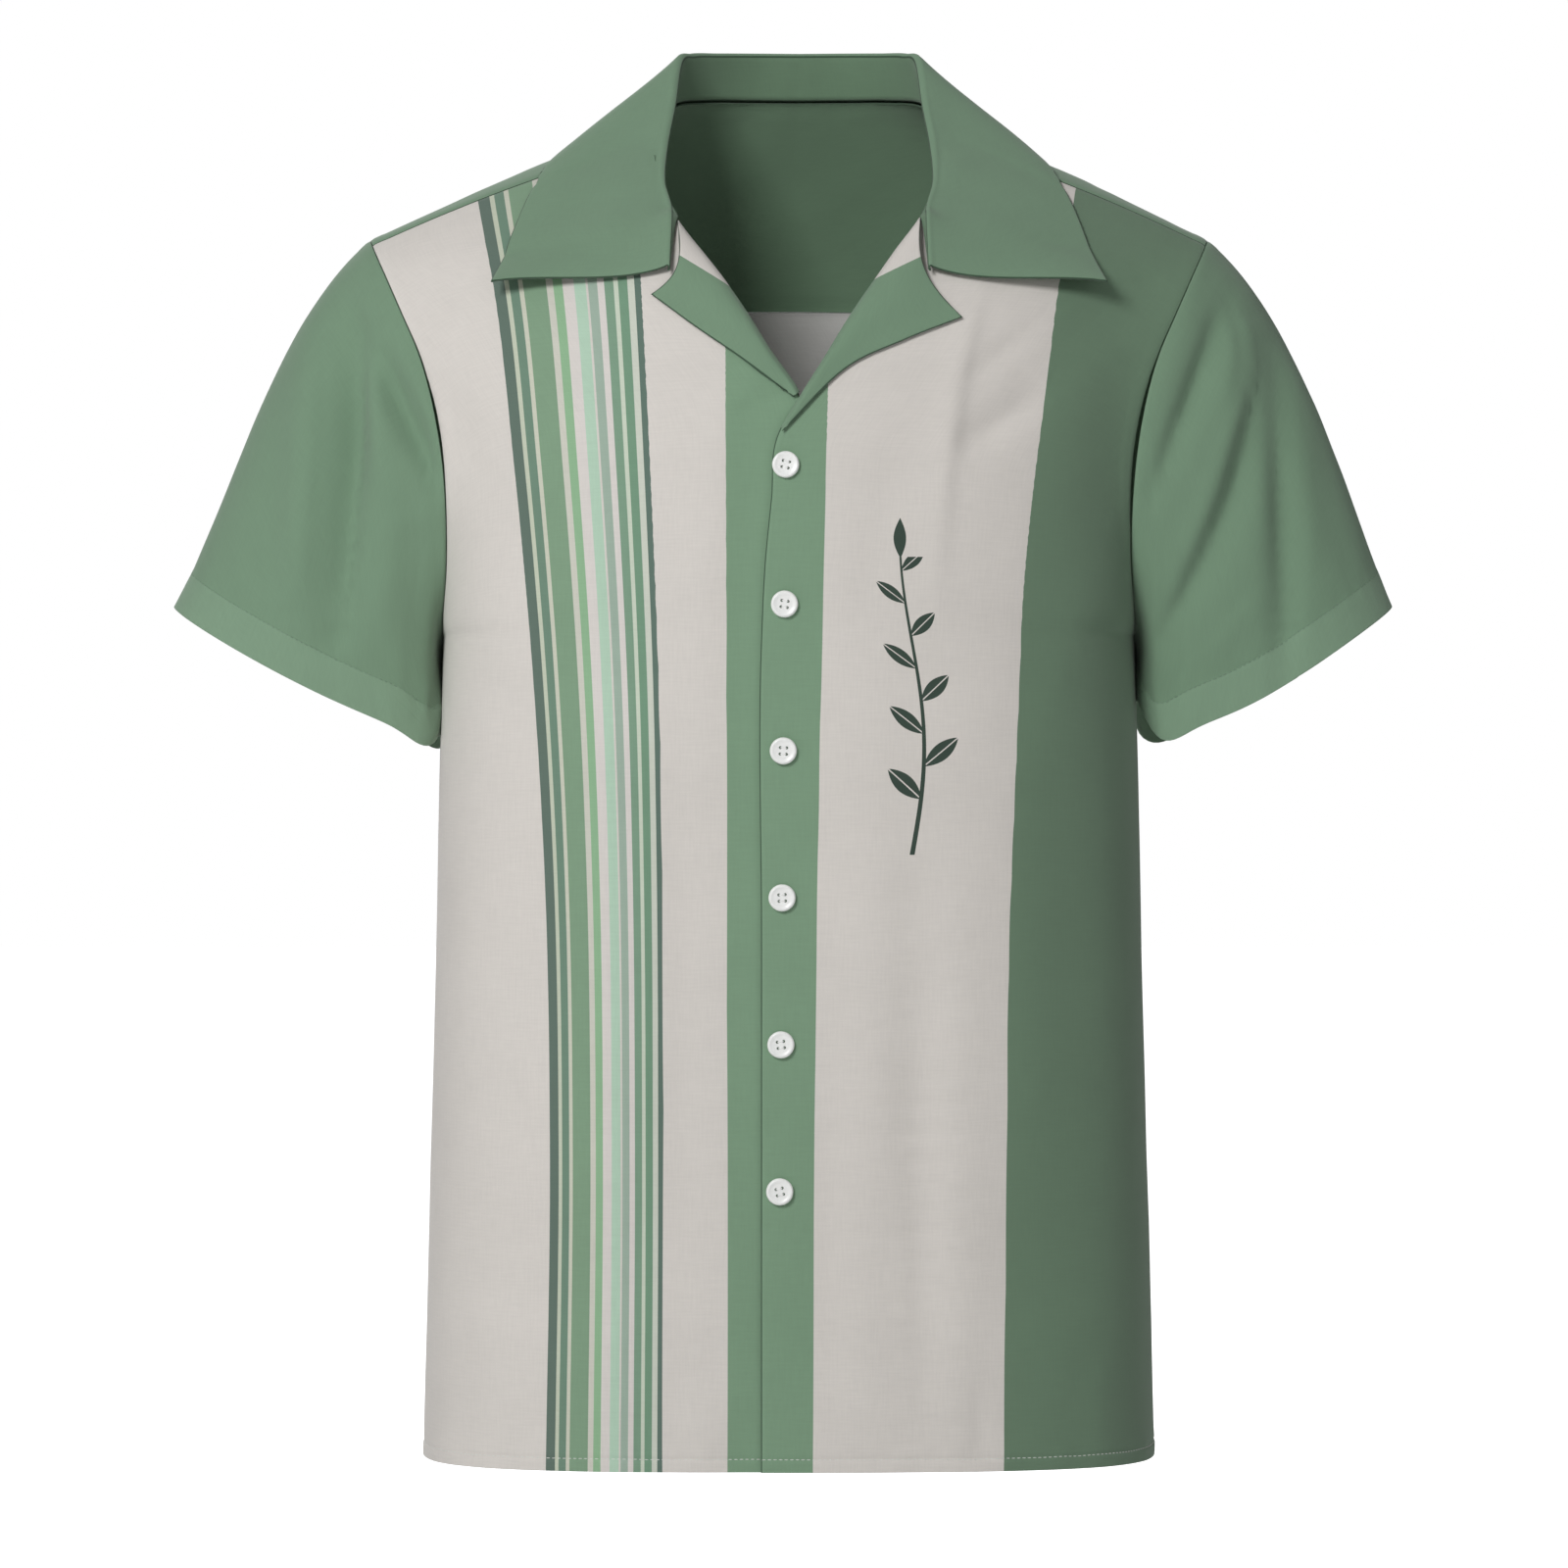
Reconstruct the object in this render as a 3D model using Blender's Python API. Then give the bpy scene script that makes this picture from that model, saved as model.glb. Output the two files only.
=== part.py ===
"""Short-sleeved camp-collar shirt, filled out as it hangs on a wearer who isn't there.

Each cloth piece is a thin wall on a surface worked out from its cut: where its seams run in
space, and how far the cloth bows between them. +X is the wearer's left, -Y the front and +Z
up. The origin is the middle of the neck, level with the points where the shoulders meet it.
Sizes are in millimetres, and MM turns them into metres as the meshes are made.
"""

import bmesh
import bpy
import numpy as np
from mathutils import Matrix, Vector
from mathutils.bvhtree import BVHTree

MM = 0.001
WALL = 1.2              # cloth, with its facing or turning where it has one
SEAM_GAP = 0.3          # between the pieces at a seam

# Driving sizes of the body
HEM_Z = -727.0          # neck point to hem: the length of the shirt
ARMPIT_Z = -276.0
ARMPIT_ROW = 0.50       # fraction of a panel's rows that lies below the underarm
NECK_X = 5.5            # the neck hangs this far to the wearer's left of the hem's middle

# Side seams, which hang clear of the body: half the width of the shirt at each height.
SIDE_SEAM = (
    # height, half width
    (-727, 202.0),
    (-600, 198.8),
    (-450, 195.0),
    (-340, 192.8),
    (-276, 191.0),
)

# The armhole is an upright oval. Angle 0 is the shoulder tip, 90 the front, 180 the underarm.
ARM_Y, ARM_Z = 3.0, -166.5
ARM_HALF_DEPTH, ARM_HALF_HEIGHT = 66.0, 109.5
FRONT_SEAM_ANGLE = 15.6     # where the shoulder seam meets it, just in front of the ridge
BACK_SEAM_ANGLE = -47.5     # where the yoke's lower seam meets it
ARMHOLE_WIDTH = (
    # height, half the distance between the two armholes
    (-276, 191.0),
    (-240, 187.5),
    (-207, 187.3),
    (-168, 191.0),
    (-145, 195.5),
    (-123, 202.0),
    (-100, 212.0),
    (-80, 221.0),
    (-61, 229.8),
    (-57, 231.5),
)

# Inner edge of each front: the overlap, then the roll line of the lapel from the break up,
# then the neck seam under the collar.
FRONT_EDGE = (
    # height, x of the left front, x of the right front, y
    (-727, -15.0, 9.0, -130.0),
    (-440, -15.0, 9.0, -129.0),
    (-281, -15.0, 9.0, -127.5),
    (-239, -13.0, 9.0, -125.5),
    (-204, -9.6, 9.0, -122.5),
    (-171, -6.4, 9.0, -118.7),
    (-149, 5.8, 6.5, -114.5),
    (-123, 21.8, -10.2, -105.0),
    (-103, 34.0, -22.3, -97.0),
    (-85, 46.0, -34.5, -87.5),
    (-68, 57.5, -47.2, -76.0),
    (-50, 70.5, -60.5, -61.0),
    (-36, 78.0, -67.0, -45.0),
    (-19, 84.0, -73.0, -27.0),
    (-3, 85.5, -74.5, -8.0),
)
SHOULDER_Z = FRONT_EDGE[-1][0]
BREAK_Z = -166.0        # where the left front's edge starts to turn out as its lapel
ROLL_FADE = 15.0        # the front's edge gives way to the lapel over this height
COLLAR_Z = -32.0        # above this the edge is the neck seam, under the collar
UNDERLAP_EASE = 36.0    # how far before the overlap the right front starts to dip under
UNDERLAP_FLAT = 8.0     # and how far before it the dip ends
UNDERLAP_DIP = WALL + 1.3

# Neck seam from the middle of the back round to the front, half of it.
NECK_SEAM = (
    # run, out from the middle, y, z
    (0.00, 0.0, 70.0, 25.5),
    (0.18, 27.0, 68.0, 25.5),
    (0.36, 51.0, 56.0, 24.5),
    (0.52, 68.0, 36.0, 21.0),
    (0.66, 77.0, 14.0, 10.5),
    (0.78, 80.0, -8.0, -3.0),
    (0.88, 78.5, -27.0, -19.0),
    (0.95, 72.5, -45.0, -36.0),
    (1.00, 65.5, -61.0, -50.0),
)
NECK_SHOULDER_RUN = 0.78

# How the cloth bows along one row of a panel, between its inner and outer seams: the reach
# of each end's handle as a fraction of the row's width, its lean in y, and its dip as a
# fraction of the row's drop.
SHOULDER_BOW = (0.34, -1.0, 0.25, 0.34, 2.0, 0.42)
FRONT_ROWS = (
    # row, height of inner end, start reach, lean, dip, end reach, lean, dip
    (0.00, -727, 0.80, 0.0, 0.33, 0.00, 108.0, 0.33),
    (0.25, -500, 0.78, 0.0, 0.33, 0.00, 102.0, 0.33),
    (0.43, -340, 0.75, 0.0, 0.33, 0.00, 95.0, 0.33),
    (0.50, -276, 0.72, 0.0, 0.33, 0.00, 88.0, 0.33),
    (0.60, -226, 0.66, 0.0, 0.30, 0.03, 58.0, 0.30),
    (0.70, -180, 0.58, 0.0, 0.30, 0.12, 38.0, 0.30),
    (0.80, -128, 0.48, 0.0, 0.30, 0.25, 26.0, 0.30),
    (0.90, -72, 0.40, -2.0, 0.30, 0.32, 14.0, 0.33),
    (1.00, SHOULDER_Z, *SHOULDER_BOW),
)
BACK_ROWS = (
    # row, height at the middle, start reach, lean, dip, end reach, lean, dip
    (0.00, -727, 0.80, 0.0, 0.33, 0.00, -106.0, 0.33),
    (0.25, -500, 0.78, 0.0, 0.33, 0.00, -102.0, 0.33),
    (0.43, -340, 0.75, 0.0, 0.33, 0.00, -98.0, 0.33),
    (0.50, -276, 0.72, 0.0, 0.33, 0.00, -90.0, 0.33),
    (0.66, -210, 0.66, 0.0, 0.30, 0.03, -60.0, 0.30),
    (0.83, -148, 0.58, 0.0, 0.30, 0.15, -42.0, 0.30),
    (1.00, -89, 0.50, 0.0, 0.30, 0.30, -30.0, 0.30),
)
BACK_MIDDLE = (
    # height, y of the middle of the back
    (-727, 127.0),
    (-440, 128.0),
    (-276, 131.0),
    (-180, 130.0),
    (-89, 121.0),
)
YOKE_CORNER = 13 / 19    # run round the yoke where its lower seam meets the armhole
YOKE_ROWS = (
    # run round the neck, start reach, lean, dip, end reach, lean, dip
    (0.00, 0.33, 21.7, 0.24, 0.33, 6.0, 0.35),
    (0.34, 0.33, 19.0, 0.24, 0.22, 6.0, 0.35),
    (0.68, 0.33, 14.0, 0.20, 0.30, -6.0, 0.38),
    (0.84, 0.33, 6.0, 0.20, 0.33, -1.0, 0.42),
    (1.00, *SHOULDER_BOW),
)

# Sleeves: the outer and inner ends of each hem as seen from the front, how far the hem
# sags below the line between them, and how much more it does so towards the body.
SLEEVE_HEM = {
    # side: outer x, outer z, inner x, inner z, sag between them, lean of the sag inwards
    1: (332.6, -260.0, 195.0, -311.0, 23.0, 0.6),
    -1: (-339.0, -260.5, -195.0, -329.0, 9.0, 0.2),
}
SLEEVE_HEM_HALF_DEPTH, SLEEVE_SAG_ROUND = 47.0, 1.2
SLEEVE_TOP_WAY = (0.78, 0.0, -0.62)
SLEEVE_UNDER_WAY = (0.46, 0.0, -0.89)
SLEEVE_START_REACH, SLEEVE_END_REACH = 0.27, 0.33
SLEEVE_FOLD_EASE = 0.07     # share of the sleeve's length over which its folds start

# Columns of the cloth between the seams that meet the armhole, the same on both sides of it
# so that the pieces fit: the front's, the back's and the yoke's share of the sleeve.
FRONT_COLUMNS, BACK_COLUMNS, YOKE_COLUMNS = 12, 12, 6

# Columns across the other pieces and rows along them
FRONT_ACROSS, BACK_ACROSS = 14, 26
YOKE_ALONG, SLEEVE_ALONG = 10, 9
COLLAR_ACROSS, COLLAR_ALONG = 44, 12
LAPEL_ACROSS, LAPEL_ALONG = 9, 9
LAPEL_CLOSER = 1.7          # crowds the lapel's columns towards its roll

# Gaps at the seams where walls meet at an angle, each as a fraction of its piece's rows.
SHOULDER_GAP, YOKE_GAP, SLEEVE_GAP = 0.0012, 0.002, 0.003

# The skin that the collar, lapels and buttons are laid on: its columns and rows, finer than
# the pieces', and how far it runs on past the fronts' edges, as a fraction of their width.
SKIN_GRID, SKIN_YOKE_GRID = (60, 90), (120, 30)
SKIN_OVER = 0.03
SKIN_FRONT_Y = -400.0       # well in front of the shirt, where a search of it starts
OUT_FROM_Y, OUT_RISE = 20.0, 60.0       # what outward leans away from, and how much it rises

# Collar, half of it: the fold at the top of the stand and the free edge of the fall.
COLLAR = (
    # run, fold out, y, z, edge out, y, z
    (0.00, 0.0, 68.0, 53.0, 0.0, 90.0, 6.0),
    (0.15, 24.0, 66.0, 53.0, 42.0, 87.0, 3.5),
    (0.30, 46.0, 55.0, 52.0, 82.0, 68.0, -4.5),
    (0.42, 60.0, 41.0, 50.5, 114.0, 36.0, -13.5),
    (0.52, 67.0, 28.0, 46.5, 133.0, 7.0, -20.0),
    (0.62, 70.5, 6.0, 21.0, 140.5, -9.0, -30.0),
    (0.74, 74.5, -17.0, -5.0, 148.5, -25.0, -42.5),
    (0.84, 75.0, -39.0, -27.0, 156.5, -45.0, -58.5),
    (0.92, 70.5, -60.0, -46.0, 162.0, -60.0, -72.0),
    (1.00, 71.5, -88.0, -77.0, 167.5, -78.0, -84.5),
)
COLLAR_FRONT_RUN = 0.92     # from here on the collar is sewn to the lapel, not to the neck
COLLAR_ROLL, COLLAR_END_ROLL = 2.6, 1.6     # radius of the cloth over the fold
COLLAR_TIGHTEN = (0.70, 0.95)               # between which runs it narrows to its end's
COLLAR_TURN = np.radians(140)               # how far round the fold the cloth turns
COLLAR_STAND, COLLAR_FOLD = 0.30, 0.45      # where across it the stand and the fold end
COLLAR_LAY = WALL + 1.2     # how far its face stands off the garment
COLLAR_FOOT = 1.5           # where it joins the lapel its foot is this far below the fold
COLLAR_LEVEL = 2.0          # and its fall flattens out by this much towards its edge
COLLAR_FRONT_LIFT = 6.0     # and its fold, where it lies on the front

# Lapels: for each height on the roll line, the lapel's free edge as seen from the front.
LAPEL_EDGE = {
    # side: (run, height on the roll line, edge x, edge z)
    1: (
        (0.00, -48.5, 93.9, -105.5),
        (0.33, -85, 62.0, -118.5),
        (0.66, -124, 30.0, -134.5),
        (1.00, -166, -3.5, -168.5),
    ),
    -1: (
        (0.00, -50, -74.7, -92.8),
        (0.33, -82, -50.5, -111.0),
        (0.66, -114, -25.5, -128.5),
        (1.00, -143, -1.0, -148.5),
    ),
}
LAPEL_NOTCH = {1: (9.0, -2.0), -1: (7.0, -5.4)}     # how far its top edge steps in
LAPEL_ROLL = 3.2            # the front's own edge stops this far short of the roll line
LAPEL_LAY = WALL + 1.4      # how far its face stands off the front
LAPEL_PUFF = 5.0            # how much further it stands off beyond the roll
LAPEL_FULL_WIDTH = 45.0     # narrower than this, near the break, it puffs less

# Buttons
BUTTON_DIAMETER, BUTTON_THICK = 14.6, 2.6
BUTTON_COUNT = 6
BUTTON_FIRST_Z, BUTTON_FIRST_PITCH, BUTTON_PITCH = -186.6, 75.0, 78.7
BUTTON_TOP_X, BUTTON_BOTTOM_X = -1.8, -5.0
BUTTON_HOLE, BUTTON_HOLE_SPREAD = 1.6, 3.4

# The largest soft folds, as seen from the front: three points along each, its half width,
# and its depth, below zero for a trough.
FRONT_FOLDS = {
    1: (
        (206, -76, 176, -104, 132, -138, 13, -3.6),
        (150, -132, 118, -158, 88, -180, 12, -3.0),
        (186, -120, 183, -165, 176, -225, 20, -4.0),
        (95, -330, 92, -520, 90, -727, 22, 3.0),
        (72, -420, 69, -600, 68, -727, 14, -3.0),
        (46, -300, 44, -520, 42, -727, 20, 2.0),
    ),
    -1: (
        (-194, -130, -172, -180, -140, -225, 18, -3.5),
        (-104, -330, -104, -520, -100, -727, 30, 2.5),
        (-52, -330, -54, -520, -52, -727, 22, -2.5),
    ),
}
BACK_FOLDS = (
    (-178, -150, -150, -215, -112, -290, 20, -4.0),
    (178, -145, 152, -220, 118, -300, 20, -4.0),
    (-95, -330, -102, -520, -108, -727, 30, 3.5),
    (-38, -300, -42, -500, -50, -727, 26, -3.5),
    (30, -320, 36, -520, 44, -727, 28, 3.5),
    (100, -340, 104, -540, 106, -727, 28, -3.5),
)
SLEEVE_FOLDS = {
    1: (
        (242, -92, 224, -138, 200, -196, 9, -4.0),
        (256, -100, 246, -185, 204, -276, 10, -5.0),
        (268, -98, 274, -190, 270, -302, 13, -6.0),
        (250, -110, 238, -180, 208, -250, 9, 2.4),
    ),
    -1: (
        (-250, -96, -243, -165, -250, -270, 13, -6.0),
        (-232, -118, -214, -153, -193, -194, 10, -4.5),
        (-206, -215, -202, -260, -203, -320, 14, -3.0),
        (-272, -115, -275, -190, -272, -270, 14, 2.6),
    ),
}


# ---------------------------------------------------------------- curves and surfaces

def through(table, at):
    """Smooth curve through a table's rows, looked up by the first column."""
    table = np.asarray(table, float)
    knots, values = table[:, 0], table[:, 1:]
    slopes = np.gradient(values, knots, axis=0)
    at = np.clip(np.asarray(at, float), knots[0], knots[-1])
    low = np.clip(np.searchsorted(knots, at) - 1, 0, len(knots) - 2)
    step = (knots[low + 1] - knots[low])[..., None]
    t = (at - knots[low])[..., None] / step
    return ((2 * t**3 - 3 * t**2 + 1) * values[low] + (t**3 - 2 * t**2 + t) * step * slopes[low]
            + (3 * t**2 - 2 * t**3) * values[low + 1] + (t**3 - t**2) * step * slopes[low + 1])


def bezier(a, b, c, d, t):
    """Point at t on the cubic curve from a to d with handles b and c."""
    t = t[..., None]
    return (1 - t)**3 * a + 3 * t * (1 - t)**2 * b + 3 * t**2 * (1 - t) * c + t**3 * d


def points(x, y, z):
    """Stack coordinates, of which some may be single numbers, into points."""
    return np.stack(np.broadcast_arrays(x, y, z), axis=-1).astype(float)


def row(inner, outer, bow, u):
    """Point at u along a panel's row, from its inner seam to its outer one."""
    chord = outer - inner
    reach_in, lean_in, dip_in, reach_out, lean_out, dip_out = np.moveaxis(bow, -1, 0)
    start = inner + points(reach_in * chord[..., 0], lean_in, dip_in * chord[..., 2])
    end = outer - points(reach_out * chord[..., 0], lean_out, dip_out * chord[..., 2])
    return bezier(inner, start, end, outer, u)


def fold_relief(x, z, folds):
    """Height of the soft folds at points seen from the front."""
    relief = np.zeros(np.shape(x))
    along = np.linspace(0.0, 1.0, 25)
    for x0, z0, x1, z1, x2, z2, half_width, depth in folds:
        weights = np.stack([(1 - along)**2, 2 * along * (1 - along), along**2], axis=-1)
        middle_x, middle_z = 2 * x1 - (x0 + x2) / 2, 2 * z1 - (z0 + z2) / 2
        path = weights @ np.array([[x0, z0], [middle_x, middle_z], [x2, z2]])
        away = np.hypot(x[..., None] - path[:, 0], z[..., None] - path[:, 1])
        nearest = away.argmin(axis=-1)
        taper = np.sin(np.pi * np.clip(along[nearest], 0.04, 0.96))**0.6
        relief += depth * taper * np.exp(-(away.min(axis=-1) / half_width)**2)
    return relief


def normals(surface, u, v):
    """Unit normals of a surface, from points a little either side of each."""
    step = 2e-3
    across = surface(u + step, v) - surface(u - step, v)
    along = surface(u, np.clip(v + step, 0, 1)) - surface(u, np.clip(v - step, 0, 1))
    normal = np.cross(across, along)
    return normal / np.linalg.norm(normal, axis=-1, keepdims=True)


def folded(surface, folds, u, v):
    """The surface with soft folds pressed into it, fading where it turns edge-on."""
    place = surface(u, v)
    facing = normals(surface, u, v)
    relief = fold_relief(place[..., 0], place[..., 2], folds) * np.abs(facing[..., 1])
    return place - facing * np.sign(facing[..., 1:2]) * relief[..., None] * np.where(
        place[..., 1:2] > 0, -1, 1)


# ---------------------------------------------------------------- the seams

def armhole(side, angle):
    """Point on the armhole seam of one side."""
    turn = np.radians(angle)
    z = ARM_Z + ARM_HALF_HEIGHT * np.cos(turn)
    x = side * through(ARMHOLE_WIDTH, z)[..., 0]
    return points(x, ARM_Y - ARM_HALF_DEPTH * np.sin(turn), z)


def outer_seam(side, v, top_angle):
    """The side seam up to the underarm, and from there the armhole to top_angle."""
    below = np.clip(v / ARMPIT_ROW, 0, 1)
    above = np.clip((v - ARMPIT_ROW) / (1 - ARMPIT_ROW), 0, 1)
    z = HEM_Z + (ARMPIT_Z - HEM_Z) * below
    seam = points(side * through(SIDE_SEAM, z)[..., 0], ARM_Y, z)
    bottom = 180 if top_angle > 0 else -180
    hole = armhole(side, bottom + (top_angle - bottom) * above)
    return np.where(v[..., None] <= ARMPIT_ROW, seam, hole)


def neck_seam(side, run):
    """Point on the neck seam, run 0 at the middle of the back."""
    out, y, z = np.moveaxis(through(NECK_SEAM, run), -1, 0)
    return points(NECK_X + side * out, y, z)


# ---------------------------------------------------------------- the panels' surfaces

def front_form(side, u, v, roll=0.0):
    """A front before its folds, u from its inner edge to the side and armhole.

    roll is how far its edge stops short of the roll line, under the turn of the lapel.
    """
    shape = through(FRONT_ROWS, v)
    z, bow = shape[..., 0], shape[..., 1:]
    edge = through(FRONT_EDGE, z)
    short = (side * roll * np.clip((z - BREAK_Z) / ROLL_FADE, 0, 1)
             * np.clip((COLLAR_Z - z) / ROLL_FADE, 0, 1))
    inner = points(edge[..., 0 if side > 0 else 1] + short, edge[..., 2], z)
    return row(inner, outer_seam(side, v, FRONT_SEAM_ANGLE), bow, u)


def front(side, u, v, roll=0.0):
    """A front with its folds; the right one dips under the left where they overlap."""
    def form(a, b):
        return front_form(side, a, b, roll)
    place = folded(form, FRONT_FOLDS[side], u, v)
    if side < 0:
        over = through(FRONT_EDGE, place[..., 2])[..., 0]
        under = np.clip((place[..., 0] - over + UNDERLAP_EASE)
                        / (UNDERLAP_EASE - UNDERLAP_FLAT), 0, 1)
        place[..., 1] += UNDERLAP_DIP * under**2 * (3 - 2 * under)
    return place


def back_form(u, v):
    """The back before its folds, u from -1 at the right side to 1 at the left."""
    shape = through(BACK_ROWS, v)
    z, bow = shape[..., 0], shape[..., 1:]
    inner = points(0, through(BACK_MIDDLE, z)[..., 0], z)
    side = np.where(u < 0, -1.0, 1.0)
    return row(inner, outer_seam(side, v, BACK_SEAM_ANGLE), bow, np.abs(u))


def back(u, v):
    """The back with its folds."""
    return folded(back_form, BACK_FOLDS, u, v)


def yoke(u, v):
    """The yoke, u from -1 at the right shoulder seam round the neck to 1 at the left one."""
    side = np.where(u < 0, -1.0, 1.0)
    run = np.abs(u)
    inner = neck_seam(side, run * NECK_SHOULDER_RUN)
    lower = back(np.clip(u / YOKE_CORNER, -1, 1), np.ones_like(u))
    climb = np.clip((run - YOKE_CORNER) / (1 - YOKE_CORNER), 0, 1)
    hole = armhole(side, BACK_SEAM_ANGLE + (FRONT_SEAM_ANGLE - BACK_SEAM_ANGLE) * climb)
    outer = np.where(run[..., None] < YOKE_CORNER, lower, hole)
    return row(inner, outer, through(YOKE_ROWS, run), v)


def sleeve_angle(u):
    """Angle round the armhole for each share of the sleeve, seam by seam."""
    columns = np.cumsum([0, FRONT_COLUMNS, BACK_COLUMNS, YOKE_COLUMNS])
    seams = (FRONT_SEAM_ANGLE, 180, 360 + BACK_SEAM_ANGLE, 360 + FRONT_SEAM_ANGLE)
    whole = np.floor(u)
    return 360 * whole + np.interp(u - whole, columns / columns[-1], seams)


def sleeve_form(side, u, v):
    """A sleeve before its folds, u once round from the shoulder seam by the front."""
    outer_x, outer_z, inner_x, inner_z, sag, lean = SLEEVE_HEM[side]
    angle = sleeve_angle(u)
    turn = np.radians(angle)
    up = (1 + np.cos(turn))[..., None] / 2
    start = armhole(side, angle)
    middle = np.array([(outer_x + inner_x) / 2, 0.0, (outer_z + inner_z) / 2])
    across = np.array([(outer_x - inner_x) / 2, 0.0, (outer_z - inner_z) / 2])
    way = np.array([across[2] * side, 0.0, -abs(across[0])])
    way = way / np.linalg.norm(way)
    low = sag * np.abs(np.sin(turn))**SLEEVE_SAG_ROUND * (1 - lean * np.cos(turn))
    hem = (middle + np.cos(turn)[..., None] * across
           - points(0, SLEEVE_HEM_HALF_DEPTH * np.sin(turn), low))
    top = np.array(SLEEVE_TOP_WAY) * [side, 1, 1]
    under = np.array(SLEEVE_UNDER_WAY) * [side, 1, 1]
    leave = up * top + (1 - up) * under
    start = start + SEAM_GAP * leave
    length = np.linalg.norm(hem - start, axis=-1, keepdims=True)
    return bezier(start, start + SLEEVE_START_REACH * length * leave,
                  hem - SLEEVE_END_REACH * length * way, hem, v)


def sleeve(side, u, v):
    """A sleeve with its folds, which grow from nothing at the armhole seam."""
    def form(a, b):
        return sleeve_form(side, a, b)
    grown = np.clip(v / SLEEVE_FOLD_EASE, 0, 1)[..., None]
    return form(u, v) * (1 - grown) + folded(form, SLEEVE_FOLDS[side], u, v) * grown


# ---------------------------------------------------------------- cloth laid on cloth

def sheet_mesh(surface, columns, rows, closed=False, u_range=(0, 1), v_range=(0, 1)):
    """A sheet of quads on a surface; a closed one is welded where it comes round."""
    sheet = bmesh.new()
    bmesh.ops.create_grid(sheet, x_segments=columns, y_segments=rows, size=0.5)
    grid = np.array([vert.co[:2] for vert in sheet.verts]) + 0.5
    u = u_range[0] + (u_range[1] - u_range[0]) * grid[:, 0]
    v = v_range[0] + (v_range[1] - v_range[0]) * grid[:, 1]
    for vert, place in zip(sheet.verts, surface(u, v)):
        vert.co = Vector(place) * MM
    if closed:
        bmesh.ops.remove_doubles(sheet, verts=sheet.verts, dist=1e-6)
    return sheet


def body_tree():
    """The fronts and the yoke as one searchable skin, for what lies on them."""
    skin = bmesh.new()
    pieces = (
        sheet_mesh(lambda u, v: front(1, u, v), *SKIN_GRID, u_range=(-SKIN_OVER, 1)),
        sheet_mesh(lambda u, v: front(-1, u, v), *SKIN_GRID, u_range=(-SKIN_OVER, 1)),
        sheet_mesh(yoke, *SKIN_YOKE_GRID, u_range=(-1, 1)),
    )
    for piece in pieces:
        mesh = bpy.data.meshes.new("skin")
        piece.to_mesh(mesh)
        piece.free()
        skin.from_mesh(mesh)
        bpy.data.meshes.remove(mesh)
    return BVHTree.FromBMesh(skin)


def body_depth(tree, x, z):
    """y of the garment's front face behind a point seen from the front."""
    hit = tree.ray_cast(Vector((x, SKIN_FRONT_Y, z)) * MM, Vector((0, 1, 0)))[0]
    return hit.y / MM if hit else None


def outward(place):
    """Rough way out of the garment at a point of its shoulders or chest."""
    return Vector((place[0] - NECK_X, place[1] - OUT_FROM_Y, OUT_RISE)).normalized()


def clear_of_body(tree, place, clearance):
    """The point, moved out until it stands clear of the garment's face."""
    spot = Vector(place) * MM
    for _ in range(3):
        near, facing, _, _ = tree.find_nearest(spot)
        if facing.dot(outward(place)) < 0:
            facing = -facing
        height = (spot - near).dot(facing) / MM
        if height < clearance:
            spot = spot + facing * (clearance - height) * MM
    return np.array(spot) / MM


def collar_form(tree, u, v):
    """The collar, u from -1 at the right front to 1 at the left, v from seam to free edge."""
    side = np.where(u < 0, -1.0, 1.0)
    run = np.abs(u)
    shape = through(COLLAR, run)
    fold = points(NECK_X + side * shape[..., 0], shape[..., 1], shape[..., 2])
    edge = points(NECK_X + side * shape[..., 3], shape[..., 4], shape[..., 5])
    seam = neck_seam(side, np.clip(run / COLLAR_FRONT_RUN, 0, 1)) + [0, 0, 1]
    front_part = np.clip((run - COLLAR_FRONT_RUN) / (1 - COLLAR_FRONT_RUN), 0, 1)
    roll = COLLAR_ROLL + (COLLAR_END_ROLL - COLLAR_ROLL) * np.interp(run, COLLAR_TIGHTEN, (0, 1))
    flat = (edge - fold) * [1, 1, 0]
    out = flat / np.linalg.norm(flat, axis=-1, keepdims=True)
    places = np.empty(fold.shape)
    for index in range(len(u)):
        lying = clear_of_body(tree, edge[index], COLLAR_LAY)
        top = fold[index]
        if front_part[index] > 0:
            top = clear_of_body(tree, top, COLLAR_FRONT_LIFT)
        place = collar_section(seam[index], top, lying, out[index], roll[index],
                               front_part[index], v[index])
        if v[index] > COLLAR_FOLD:
            place = clear_of_body(tree, place, COLLAR_LAY)
        places[index] = place
    return places


def collar_section(seam, fold, edge, out, roll, sewn, v):
    """Point at v across the collar: up the stand, over the fold, down the fall."""
    up = np.array([0.0, 0.0, 1.0])
    centre = fold - up * roll
    stand_top = centre - out * roll
    foot = seam * (1 - sewn) + (stand_top - up * COLLAR_FOOT) * sewn
    if v < COLLAR_STAND:
        return foot + (stand_top - foot) * v / COLLAR_STAND
    turn = COLLAR_TURN * min(1, (v - COLLAR_STAND) / (COLLAR_FOLD - COLLAR_STAND))
    leave = centre + roll * (up * np.sin(turn) - out * np.cos(turn))
    if v < COLLAR_FOLD:
        return leave
    way = up * np.cos(turn) + out * np.sin(turn)
    fall = edge - leave
    belly = leave + 0.3 * (0.4 * np.linalg.norm(fall) * way + 0.6 * fall)
    end = edge - 0.3 * fall + up * COLLAR_LEVEL
    return bezier(leave, belly, end, edge, np.array((v - COLLAR_FOLD) / (1 - COLLAR_FOLD)))


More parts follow.
